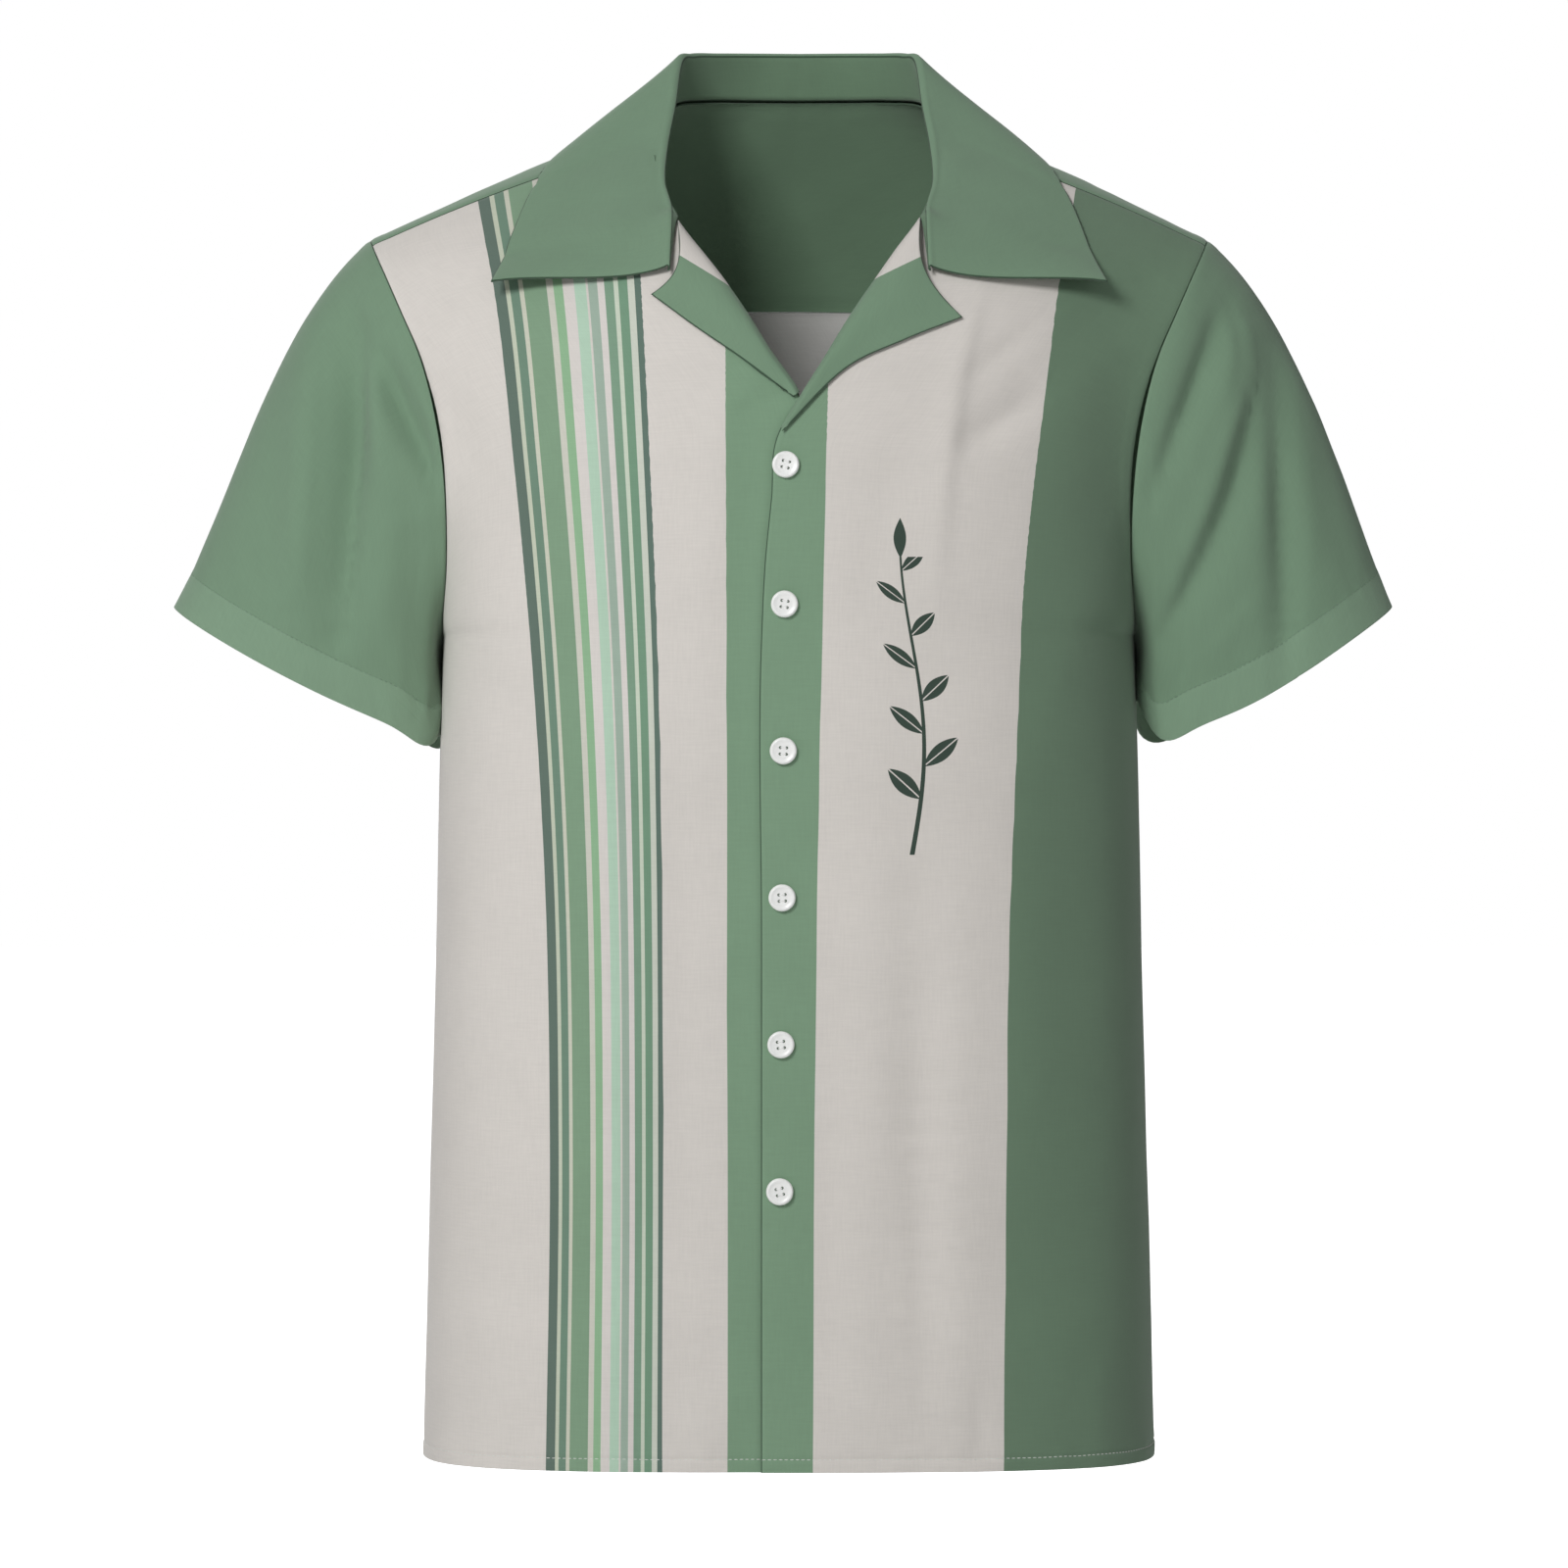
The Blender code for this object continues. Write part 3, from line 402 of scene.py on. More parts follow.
SLEEVE_CREASES = {
    1: (
        (252, -104, 253, -136, 244, -168, 4, 3, 2.2),
        (242, -94, 248, -124, 239, -158, 3, 4, -2.4),
        (222, -88, 210, -118, 200, -150, 5, 7, 1.1),
        (224, -238, 212, -262, 200, -282, 4, 6, -1.2),
        (262, -250, 240, -276, 222, -294, 5, 8, 1.0),
        (286, -150, 298, -200, 306, -250, 10, 14, -1.3),
        (300, -190, 312, -226, 318, -254, 7, 10, 1.0),
        (216, -290, 212, -304, 210, -322, 3, 4, -0.9),
        (228, -296, 226, -310, 222, -326, 3, 5, 0.8),
        (244, -100, 262, -150, 280, -210, 8, 12, 0.9),
    ),
    -1: (
        (-264, -100, -262, -150, -264, -214, 5, 4, 1.2),
        (-214, -116, -204, -143, -195, -172, 6, 8, 1.6),
        (-268, -210, -276, -240, -280, -270, 10, 14, 1.2),
        (-306, -176, -316, -214, -322, -250, 9, 12, -1.2),
        (-214, -236, -226, -262, -238, -300, 7, 10, 1.0),
        (-208, -296, -206, -308, -206, -326, 3, 4, -0.9),
        (-222, -300, -220, -314, -216, -330, 3, 5, 0.8),
        (-242, -246, -230, -274, -214, -296, 5, 8, -0.9),
    ),
}
print("folds on the left front:", len(FRONT_FOLDS[1]) + len(FRONT_CREASES[1]))

# %% [markdown]
# ## Curves and surfaces
#
# These few functions turn the tables into points. A surface is a function of two shares,
# u across the piece and v along it. Arrays go in and come out, so that one call places a
# whole grid of vertices.

# %% Curves, rows and folds
def through(table, at):
    """Smooth curve through a table's rows, looked up by the first column."""
    table = np.asarray(table, float)
    knots, values = table[:, 0], table[:, 1:]
    slopes = np.gradient(values, knots, axis=0)
    at = np.clip(np.asarray(at, float), knots[0], knots[-1])
    low = np.clip(np.searchsorted(knots, at) - 1, 0, len(knots) - 2)
    step = (knots[low + 1] - knots[low])[..., None]
    t = (at - knots[low])[..., None] / step
    return ((2 * t**3 - 3 * t**2 + 1) * values[low]
            + (t**3 - 2 * t**2 + t) * step * slopes[low]
            + (3 * t**2 - 2 * t**3) * values[low + 1]
            + (t**3 - t**2) * step * slopes[low + 1])


def bezier(a, b, c, d, t):
    """Point at t on the cubic curve from a to d with handles b and c."""
    t = t[..., None]
    return (1 - t)**3 * a + 3 * t * (1 - t)**2 * b + 3 * t**2 * (1 - t) * c + t**3 * d


def points(x, y, z):
    """Stack coordinates, of which some may be single numbers, into points."""
    return np.stack(np.broadcast_arrays(x, y, z), axis=-1).astype(float)


def row(inner, outer, bow, u):
    """Point at u along a panel's row, from its inner seam to its outer one."""
    chord = outer - inner
    reach_in, lean_in, dip_in, reach_out, lean_out, dip_out = np.moveaxis(bow, -1, 0)
    start = inner + points(reach_in * chord[..., 0], lean_in, dip_in * chord[..., 2])
    end = outer - points(reach_out * chord[..., 0], lean_out, dip_out * chord[..., 2])
    return bezier(inner, start, end, outer, u)


def fold_relief(x, z, folds):
    """Height of the soft folds at points seen from the front."""
    relief = np.zeros(np.shape(x))
    along = np.linspace(0.0, 1.0, 25)
    weights = np.stack([(1 - along)**2, 2 * along * (1 - along), along**2], axis=-1)
    for x0, z0, x1, z1, x2, z2, width_a, width_b, depth in folds:
        middle_x, middle_z = 2 * x1 - (x0 + x2) / 2, 2 * z1 - (z0 + z2) / 2
        path = weights @ np.array([[x0, z0], [middle_x, middle_z], [x2, z2]])
        near = np.hypot(x[..., None] - path[:, 0], z[..., None] - path[:, 1])
        nearest = near.argmin(axis=-1)
        beside = (x - path[nearest, 0]) * (z2 - z0) - (z - path[nearest, 1]) * (x2 - x0)
        width = np.where(beside > 0, width_a, width_b)
        taper = np.sin(np.pi * np.clip(along[nearest], 0.04, 0.96))**0.6
        relief += depth * taper * np.exp(-(near.min(axis=-1) / width)**2)
    return relief


def slopes_of(surface, u, v):
    """Unit normals of a surface, from points a little either side of each."""
    step = 2e-3
    across = surface(u + step, v) - surface(u - step, v)
    along = surface(u, np.clip(v + step, 0, 1)) - surface(u, np.clip(v - step, 0, 1))
    normal = np.cross(across, along)
    return normal / np.linalg.norm(normal, axis=-1, keepdims=True)


def folded(surface, folds, u, v):
    """The surface with soft folds pressed into it, fading where it turns edge-on."""
    place = surface(u, v)
    facing = slopes_of(surface, u, v)
    relief = fold_relief(place[..., 0], place[..., 2], folds) * np.abs(facing[..., 1])
    return place - facing * np.sign(facing[..., 1:2]) * relief[..., None] * np.where(
        place[..., 1:2] > 0, -1, 1)


print("middle of the front's edge:", through(FRONT_EDGE, -400).round(1))

# %% [markdown]
# The seams are curves that two pieces share. Working each one out once, and letting both
# neighbours start from it, is what makes the pieces fit without any trimming.

# %% Seams and panels
def armhole(side, angle):
    """Point on the armhole seam of one side."""
    turn = np.radians(angle)
    z = ARM_Z + ARM_HALF_HEIGHT * np.cos(turn)
    x = side * through(ARMHOLE_WIDTH, z)[..., 0]
    return points(x, ARM_Y - ARM_HALF_DEPTH * np.sin(turn), z)


def outer_seam(side, v, top_angle):
    """The side seam up to the underarm, and from there the armhole to top_angle."""
    below = np.clip(v / ARMPIT_ROW, 0, 1)
    above = np.clip((v - ARMPIT_ROW) / (1 - ARMPIT_ROW), 0, 1)
    z = HEM_Z + (ARMPIT_Z - HEM_Z) * below
    seam = points(side * through(SIDE_SEAM, z)[..., 0], ARM_Y, z)
    bottom = 180 if top_angle > 0 else -180
    hole = armhole(side, bottom + (top_angle - bottom) * above)
    return np.where(v[..., None] <= ARMPIT_ROW, seam, hole)


def neck_seam(side, run):
    """Point on the neck seam, run 0 at the middle of the back."""
    out, y, z = np.moveaxis(through(NECK_SEAM, run), -1, 0)
    return points(NECK_X + side * out, y, z)


def front_form(side, u, v, roll=0.0):
    """A front before its folds, u from its inner edge to the side and armhole."""
    shape = through(FRONT_ROWS, v)
    z, bow = shape[..., 0], shape[..., 1:]
    edge = through(FRONT_EDGE, z)
    short = (side * roll * np.clip((z - BREAK_Z) / ROLL_FADE, 0, 1)
             * np.clip((COLLAR_Z - z) / ROLL_FADE, 0, 1))
    inner = points(edge[..., 0 if side > 0 else 1] + short, edge[..., 2], z)
    return row(inner, outer_seam(side, v, FRONT_SEAM_ANGLE), bow, u)


def front(side, u, v, roll=0.0):
    """A front with its large folds; the right one dips under the left at the overlap."""
    place = folded(lambda a, b: front_form(side, a, b, roll), FRONT_FOLDS[side], u, v)
    if side < 0:
        over = through(FRONT_EDGE, place[..., 2])[..., 0]
        under = np.clip((place[..., 0] - over + UNDERLAP_EASE)
                        / (UNDERLAP_EASE - UNDERLAP_FLAT), 0, 1)
        place[..., 1] += UNDERLAP_DIP * under**2 * (3 - 2 * under)
    return place


def back_form(u, v):
    """The back before its folds, u from -1 at the right side to 1 at the left."""
    shape = through(BACK_ROWS, v)
    z, bow = shape[..., 0], shape[..., 1:]
    inner = points(0, through(BACK_MIDDLE, z)[..., 0], z)
    side = np.where(u < 0, -1.0, 1.0)
    return row(inner, outer_seam(side, v, BACK_SEAM_ANGLE), bow, np.abs(u))


def back(u, v):
    """The back with its large folds."""
    return folded(back_form, BACK_FOLDS, u, v)


def yoke(u, v):
    """The yoke, u from -1 at the right shoulder seam round the neck to 1 at the left one."""
    side = np.where(u < 0, -1.0, 1.0)
    run = np.abs(u)
    inner = neck_seam(side, run * NECK_SHOULDER_RUN)
    lower = back(np.clip(u / YOKE_CORNER, -1, 1), np.ones_like(u))
    climb = np.clip((run - YOKE_CORNER) / (1 - YOKE_CORNER), 0, 1)
    hole = armhole(side, BACK_SEAM_ANGLE + (FRONT_SEAM_ANGLE - BACK_SEAM_ANGLE) * climb)
    outer = np.where(run[..., None] < YOKE_CORNER, lower, hole)
    return row(inner, outer, through(YOKE_ROWS, run), v)


def sleeve_angle(u):
    """Angle round the armhole for each share of the sleeve, seam by seam."""
    shares = np.cumsum([0, *SLEEVE_SHARES])
    seams = (FRONT_SEAM_ANGLE, 180, 360 + BACK_SEAM_ANGLE, 360 + FRONT_SEAM_ANGLE)
    whole = np.floor(u)
    return 360 * whole + np.interp(u - whole, shares / shares[-1], seams)


def sleeve_form(side, u, v):
    """A sleeve before its folds, u once round from the shoulder seam by the front."""
    outer_x, outer_z, inner_x, inner_z, sag, lean = SLEEVE_HEM[side]
    angle = sleeve_angle(u)
    turn = np.radians(angle)
    up = (1 + np.cos(turn))[..., None] / 2
    start = armhole(side, angle)
    middle = np.array([(outer_x + inner_x) / 2, 0.0, (outer_z + inner_z) / 2])
    across = np.array([(outer_x - inner_x) / 2, 0.0, (outer_z - inner_z) / 2])
    way = np.array([across[2] * side, 0.0, -abs(across[0])])
    way = way / np.linalg.norm(way)
    low = sag * np.abs(np.sin(turn))**SLEEVE_SAG_ROUND * (1 - lean * np.cos(turn))
    corner, drop = SLEEVE_CORNER[side]
    from_corner = np.abs((angle + 180) % 360 - 180) - corner
    low = low + drop * np.exp(-(from_corner / SLEEVE_CORNER_SPREAD)**2)
    full = np.abs(np.sin(turn))**(1 - SLEEVE_FLAT_UNDER * (1 - np.cos(turn)) / 2)
    hem = (middle + np.cos(turn)[..., None] * across
           - points(0, SLEEVE_HEM_HALF_DEPTH * np.sign(np.sin(turn)) * full, low))
    top = np.array(SLEEVE_TOP_WAY) * [side, 1, 1]
    under = np.array(SLEEVE_UNDER_WAY) * [side, 1, 1]
    leave = up * top + (1 - up) * under
    start = start + SEAM_GAP * leave
    length = np.linalg.norm(hem - start, axis=-1, keepdims=True)
    return bezier(start, start + SLEEVE_START_REACH * length * leave,
                  hem - SLEEVE_END_REACH * length * way, hem, v)


def sleeve(side, u, v):
    """A sleeve with its large folds, which grow from nothing at the armhole seam."""
    grown = np.clip(v / SLEEVE_FOLD_EASE, 0, 1)[..., None]
    smooth = sleeve_form(side, u, v)
    return smooth * (1 - grown) + grown * folded(
        lambda a, b: sleeve_form(side, a, b), SLEEVE_FOLDS[side], u, v)


print("shoulder tip:", armhole(1, np.array(0.0)).round(1))

# %% [markdown]
# ## From a surface to a cloth piece
#
# A cloth piece starts as a flat grid. Its lines lie about 3 mm apart, and closer at the
# seams and hems, where the cloth turns within a millimetre or two. The lines are spaced
# by lengths measured on the surface, so the weave keeps one scale all over. Those lengths
# go into a UV map named "cloth", in metres, as if the piece were laid flat on the table.

# %% Grids measured in millimetres
CELL = 3.0
SEAM_LINES = (0.0, 0.5, 1.0, 1.7, 2.6, 3.8, 5.4, 7.2, 9.4)
HEM_LINES = (0.0, 0.5, 1.1, 2.0, 3.2, 4.6, 5.8, 6.5, 7.0, 7.5, 8.2, 9.4, 11.2, 13.5)
CUFF_LINES = (0.0, 0.5, 1.1, 2.0, 4.0, 6.5, 9.5, 12.5, 15.5, 18.0, 19.6, 20.5, 21.0, 21.5,
              22.4, 24.0, 26.5)


def spaced(total, cell, start=(0.0,), end=(0.0,)):
    """Distances from 0 to total, about cell apart, with closer ones listed for each end."""
    middle = np.linspace(start[-1], total - end[-1],
                         2 + int((total - start[-1] - end[-1]) / cell))
    return np.concatenate([start[:-1], middle, total - np.array(end[:-1])[::-1]])


def lengths(places, axis):
    """Distance along a grid of places in one direction, from its first line."""
    step = np.linalg.norm(np.diff(places, axis=axis), axis=-1)
    return np.insert(np.cumsum(step, axis=axis), 0, 0.0, axis=axis)


def shares(surface, distances, u=None, v=None, span=(0.0, 1.0)):
    """Shares across a surface at each distance, along the line where u or v is held."""
    fine = np.linspace(*span, 801)
    held = np.full_like(fine, u if v is None else v)
    line = surface(fine, held) if u is None else surface(held, fine)
    run = lengths(line, 0)
    return np.interp(np.asarray(distances) / distances[-1] * run[-1], run, fine), run[-1]


def line_length(surface, u=None, v=None, span=(0.0, 1.0)):
    """Length of a surface along the line where u or v is held, in millimetres."""
    return shares(surface, np.array([0.0, 1.0]), u, v, span)[1]


def outward(places, round_trip=False):
    """Normals of a grid of places, by the differences between its lines."""
    if round_trip:
        ring = np.concatenate([places[-2:-1], places, places[1:2]])
        across = np.gradient(ring, axis=0)[1:-1]
    else:
        across = np.gradient(places, axis=0)
    normal = np.cross(across, np.gradient(places, axis=1))
    return normal / np.maximum(np.linalg.norm(normal, axis=-1, keepdims=True), 1e-9)


def fade(value, low, high):
    """Eases from 0 at low to 1 at high."""
    t = np.clip((value - low) / (high - low), 0, 1)
    return t * t * (3 - 2 * t)


def bumps(a, b, size, seed):
    """Smooth noise from -1 to 1 over two lengths, with bumps about size mm across."""
    knots = np.random.default_rng(seed).uniform(-1, 1, (97, 97))
    a, b = np.asarray(a) / size + 31.7, np.asarray(b) / size + 17.3
    i, j = np.floor(a).astype(int), np.floor(b).astype(int)
    s, t = fade(a - i, 0, 1), fade(b - j, 0, 1)
    i, j = i % 96, j % 96
    return ((1 - s) * (1 - t) * knots[i, j] + s * (1 - t) * knots[i + 1, j]
            + (1 - s) * t * knots[i, j + 1] + s * t * knots[i + 1, j + 1])


print("hem lines at", HEM_LINES, "mm")

# %% [markdown]
# The grid is then moved onto its surface and given its thickness. Solidify does that on
# the inner side, and its material offset paints the inner face with a second finish: on
# real printed cotton the reverse is paler, because the dye is only on the face, while the
# green cloth's reverse is painted a deeper green, as painted shade for the hollow of the
# neck. Two numbers ride along with each vertex: "seam", its distance from the nearest
# sewn edge in millimetres, near which the finish paints a thin line of painted shade, and
# "print", its place across the printed stripes; on the sleeves it marks the turned hem,
# painted lighter as painted light, and on the collar the stand, painted the deeper green
# as painted shade.

# %% Make one cloth piece
CLOTH_THICK = 0.7
made_pieces = {}


def grid_mesh(name, places, flat, layers, flip=False, weld=False):
    """A mesh whose grid of vertices lies at places, with its flat lengths as UVs."""
    across, along = places.shape[0] - 1, places.shape[1] - 1
    sheet = bmesh.new()
    sheet.loops.layers.uv.new("cloth")
    bmesh.ops.create_grid(sheet, x_segments=across, y_segments=along, size=0.5, calc_uvs=True)
    if flip:
        bmesh.ops.reverse_faces(sheet, faces=sheet.faces)
    mesh = meshed(name, sheet)
    grid = np.empty(len(mesh.vertices) * 3)
    mesh.vertices.foreach_get("co", grid)
    grid = grid.reshape(-1, 3)[:, :2] + 0.5
    i = np.rint(grid[:, 0] * across).astype(int)
    j = np.rint(grid[:, 1] * along).astype(int)
    mesh.vertices.foreach_set("co", (places[i, j] * MM).ravel())
    corner = np.empty(len(mesh.loops), int)
    mesh.loops.foreach_get("vertex_index", corner)
    mesh.uv_layers["cloth"].data.foreach_set("uv", (flat[i, j][corner] * MM).ravel())
    for layer, values in layers.items():
        store = mesh.attributes.new(layer, "FLOAT", "POINT")
        store.data.foreach_set("value", values[i, j].astype(np.float32))
    if weld:
        sheet = bmesh.new()
        sheet.from_mesh(mesh)
        bmesh.ops.remove_doubles(sheet, verts=sheet.verts, dist=1e-6)
        sheet.to_mesh(mesh)
        sheet.free()
    mesh.update()
    return mesh


def cloth_piece(name, node, mesh, face, reverse, thick=CLOTH_THICK):
    """Dress a node: the mesh with its wall on the inner side, its face and its reverse."""
    mesh.shade_smooth()
    mesh.materials.append(face)
    mesh.materials.append(reverse)
    piece = placed(name, mesh)
    wall = piece.modifiers.new("thickness of the cloth", "SOLIDIFY")
    wall.thickness = thick * MM
    wall.offset = -1.0
    wall.material_offset = 1
    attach(piece, "root")
    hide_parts(node)
    made_pieces[name] = piece
    print(f"{name}: {len(mesh.polygons)} quads a side")
    return piece


# %% [markdown]
# ## Cotton, as a finish
#
# The shirt is plain-woven cotton of about 135 grams a square metre, printed and then
# washed soft. Up close it is a lattice of threads about a third of a millimetre apart;
# from where the photograph was taken it is quite smooth and quite matt. So the weave is a
# very low bump, drawn at 0.8 mm so that it still shows close up, thicker threads run
# through it here and there, the dye is a little uneven, and a faint sheen stands for the
# loose fibre ends that catch light at a grazing angle.

# %% The cotton finish
THREAD = 0.8            # mm between threads, drawn coarser than the real 0.35 mm to show
SLUB_LENGTH = 14.0      # mm, how long a thick place in a thread runs
STAIN = 55.0            # mm, how broadly the dye varies
# The dark green along sewn and free edges is painted shade: it stands for the shadow in each
# seam's groove and under each turned edge.
SEAM_LINE = 0.20        # mm, half the width of the dark line that a sewn edge draws
EDGE_LINE = 0.45        # a free edge's line is this much of a seam's scale, so it is wider
SEAM_SHADE_PAINTED = "#2b4431"


def cotton(name, colour_from, seam_shade_colour=SEAM_SHADE_PAINTED, variation=0.05, sheen=0.18):
    """Matt plain-woven cotton; colour_from adds its own nodes and gives the colour."""
    finish, tree = blank_finish(name)
    flat = add(tree, "ShaderNodeUVMap", {"uv_map": "cloth"})
    threads = []
    for direction in "XY":
        way = add(tree, "ShaderNodeMapping", sockets={
            "Vector": flat.outputs[0], "Scale": (1000 / THREAD, 1000 / THREAD, 1.0)})
        threads.append(add(tree, "ShaderNodeTexWave", {"bands_direction": direction}, {
            "Vector": way.outputs[0], "Scale": 0.3183, "Distortion": 0.7, "Detail": 1.0,
            "Detail Scale": 0.6}))
    lattice = add(tree, "ShaderNodeMath", {"operation": "MAXIMUM"},
                  {0: threads[0].outputs["Fac"], 1: threads[1].outputs["Fac"]})
    slubs = []
    for size in ((SLUB_LENGTH, THREAD * 1.4), (THREAD * 1.4, SLUB_LENGTH)):
        way = add(tree, "ShaderNodeMapping", sockets={
            "Vector": flat.outputs[0], "Scale": (1000 / size[0], 1000 / size[1], 1.0)})
        slubs.append(add(tree, "ShaderNodeTexNoise", {"noise_dimensions": "2D"}, {
            "Vector": way.outputs[0], "Scale": 1.0, "Detail": 2.0, "Roughness": 0.55}))
    slub = add(tree, "ShaderNodeMath", {"operation": "ADD"},
               {0: slubs[0].outputs["Fac"], 1: slubs[1].outputs["Fac"]})
    stain = add(tree, "ShaderNodeTexNoise", {"noise_dimensions": "2D"}, {
        "Vector": flat.outputs[0], "Scale": 1000 / STAIN, "Detail": 3.0, "Roughness": 0.5})
    uneven = add(tree, "ShaderNodeMath", {"operation": "ADD"},
                 {0: slub.outputs[0], 1: stain.outputs["Fac"]})
    shade = add(tree, "ShaderNodeMapRange", sockets={
        "Value": uneven.outputs[0], "From Min": 0.9, "From Max": 2.1,
        "To Min": 1 - variation, "To Max": 1 + variation})
    dyed = add(tree, "ShaderNodeVectorMath", {"operation": "SCALE"},
               {0: colour_from(tree), "Scale": shade.outputs[0]})
    # Near a seam the colour is mixed towards the dark green, as a thin line of painted shade.
    seam = add(tree, "ShaderNodeAttribute", {"attribute_name": "seam"})
    painted_seam_shade = add(tree, "ShaderNodeMapRange", {"interpolation_type": "SMOOTHSTEP"}, {
        "Value": seam.outputs["Fac"], "From Min": SEAM_LINE, "From Max": SEAM_LINE * 1.7,
        "To Min": 0.85, "To Max": 0.0})
    colour = add(tree, "ShaderNodeMix", {"data_type": "RGBA"}, {
        0: painted_seam_shade.outputs[0], 6: dyed.outputs[0], 7: linear(seam_shade_colour)})
    raised = add(tree, "ShaderNodeMath", {"operation": "MULTIPLY_ADD"},
                 {0: slub.outputs[0], 1: 0.7, 2: lattice.outputs[0]})
    weave = add(tree, "ShaderNodeBump", sockets={
        "Height": raised.outputs[0], "Strength": 0.15, "Distance": 0.00012})
    matt = add(tree, "ShaderNodeMapRange", sockets={
        "Value": slub.outputs[0], "From Min": 0.6, "From Max": 1.4, "To Min": 0.78,
        "To Max": 0.9})
    surface = add(tree, "ShaderNodeBsdfPrincipled", sockets={
        "Base Color": colour.outputs[2], "Roughness": matt.outputs[0], "IOR": 1.47,
        "Specular IOR Level": 0.25, "Sheen Weight": sheen, "Sheen Roughness": 0.6,
        "Normal": weave.outputs[0]})
    add(tree, "ShaderNodeOutputMaterial", sockets={"Surface": surface.outputs[0]})
    return finish


def plain(colour):
    """A single dye, for cotton()."""
    def dye(tree):
        node = add(tree, "ShaderNodeRGB")
        node.outputs[0].default_value = linear(colour)
        return node.outputs[0]
    return dye


# The deeper sage, on the green cloth's inner side and on the collar's stand, is painted shade
# for the hollows inside the shirt.
SAGE, SAGE_PAINTED_SHADE, OATMEAL = "#78957b", "#6a866c", "#dcd7d1"
sage_cotton = cotton("matt woven cotton, dyed sage green", plain(SAGE))
sage_reverse_painted_shade = cotton("matt woven cotton, inner side of the sage green", plain(SAGE_PAINTED_SHADE))
pale_reverse = cotton("matt woven cotton, pale reverse", plain("#cdccc9"))
oatmeal_cotton = cotton("matt woven cotton, oatmeal", plain(OATMEAL))
print("cotton finishes:", sage_cotton.name, "/", oatmeal_cotton.name)

# %% [markdown]
# ## The printed stripes
#
# The right front carries a group of vertical stripes that narrows towards the shoulder,
# then oatmeal, then a green band under the buttons. The left front has the other half of
# that band, oatmeal, and a solid green side. A print follows the cloth, not the room, so
# each vertex gets its place across the stripes, worked out from the lines where the
# groups begin and end, and a colour ramp with hard steps turns that place into dye.

# %% Where the printed groups begin and end
STRIPE_START = (
    # height, x
    (-724, -130.7), (-558.1, -128.6), (-410.7, -131.4), (-305.1, -137.7), (-188.2, -148.6),
    (-85.5, -161.4), (-38.8, -171.2), (0, -179.0),
)
STRIPE_END = (
    # height, x
    (-724, -67.7), (-557.7, -67.3), (-410.6, -67.9), (-305.4, -69.7), (-189.4, -74.4),
    (-87.2, -80.0), (-38.8, -83.4), (0, -86.0),
)
BAND_RIGHT = (
    # height, x
    (-724, -33.2), (-463.1, -33.4), (-305.4, -33.7), (-200.1, -34.0), (-125.6, -34.4),
    (0, -34.6),
)
BAND_LEFT = (
    # height, x
    (-724, 11.7), (-463, 13.6), (-330.7, 15.7), (-242.4, 17.8), (-174.8, 19.2),
    (-142.3, 20.0), (0, 22.0),
)
GREEN_SIDE = (
    # height, x
    (-724, 115.2), (-568.6, 116.8), (-437, 118.5), (-358, 121.7), (-305.2, 124.0),
    (-255.5, 126.2), (-199.7, 131.7), (-145.8, 138.9), (-81, 147.8), (-35.8, 157.0),
    (0, 164.0),
)
STRIPES = (
    # share of the group's width where each starts, dye
    (0.000, "#62756a"),
    (0.074, "#c6cdb9"),
    (0.102, "#708d7a"),
    (0.163, "#cdcfbe"),
    (0.194, "#82a084"),
    (0.346, "#cfcfc3"),
    (0.398, "#92b993"),
    (0.467, "#dbd6d1"),
    (0.535, "#b5d2bc"),
    (0.624, "#d6d2cb"),
    (0.634, "#a0b4a5"),
    (0.703, "#dbd6d1"),
    (0.745, "#7f9f87"),
    (0.800, "#ccd6c4"),
    (0.837, "#769a80"),
    (0.903, "#d0d5c8"),
    (0.945, "#62786d"),
)
# The solid green side is set darker than the sleeves' sage, as painted shade for the side that
# turns away from the lamp.
BAND_GREEN, SIDE_GREEN_PAINTED_SHADE = "#7f9e82", "#6b856d"
PRINT_RUN_ON = 60.0     # mm for each whole step of the place, beyond the outermost lines


def across_print(x, z, *lines):
    """Place across the print: 1 at the first line, 2 at the second, and so on."""
    knots = [through(line, z)[..., 0] for line in lines]
    place = 1 + (x - knots[0]) / PRINT_RUN_ON
    for count, (low, high) in enumerate(zip(knots, knots[1:]), start=1):
        place = np.where(x > low, count + (x - low) / (high - low), place)
    return np.where(x > knots[-1], len(knots) + (x - knots[-1]) / PRINT_RUN_ON, place)


def stepped(steps, top):
    """Nodes that turn the place across the print into colour, in hard steps up to top."""
    def colour(tree):
        place = add(tree, "ShaderNodeAttribute", {"attribute_name": "print"})
        share = add(tree, "ShaderNodeMath", {"operation": "DIVIDE"},
                    {0: place.outputs["Fac"], 1: top})
        ramp = add(tree, "ShaderNodeValToRGB", sockets={"Fac": share.outputs[0]})
        ramp.color_ramp.interpolation = "CONSTANT"
        stops = ramp.color_ramp.elements
        stops.remove(stops[-1])
        for start, dye in steps:
            stop = stops[0] if start == 0 else stops.new(start / top)
            stop.color = linear(dye)
        return ramp.outputs["Color"]
    return colour


striped = stepped(
    [(0, OATMEAL), *((1 + share, dye) for share, dye in STRIPES), (2, OATMEAL),
     (3, BAND_GREEN)], 4)
print("stripes:", len(STRIPES))

# %% [markdown]
# ## The leaf sprig
#
# A printed sprig stands on the oatmeal of the left front: a slim bending stem with leaves
# to either side in turn. It could be a cut-out laid on the cloth, but a print has no
# thickness, so it is drawn in the finish from the height and the distance beside the
# stem. One leaf is worked out once, and the remainder of the height over the spacing of
# the leaves repeats it up the stem, first on one side, then on the other.

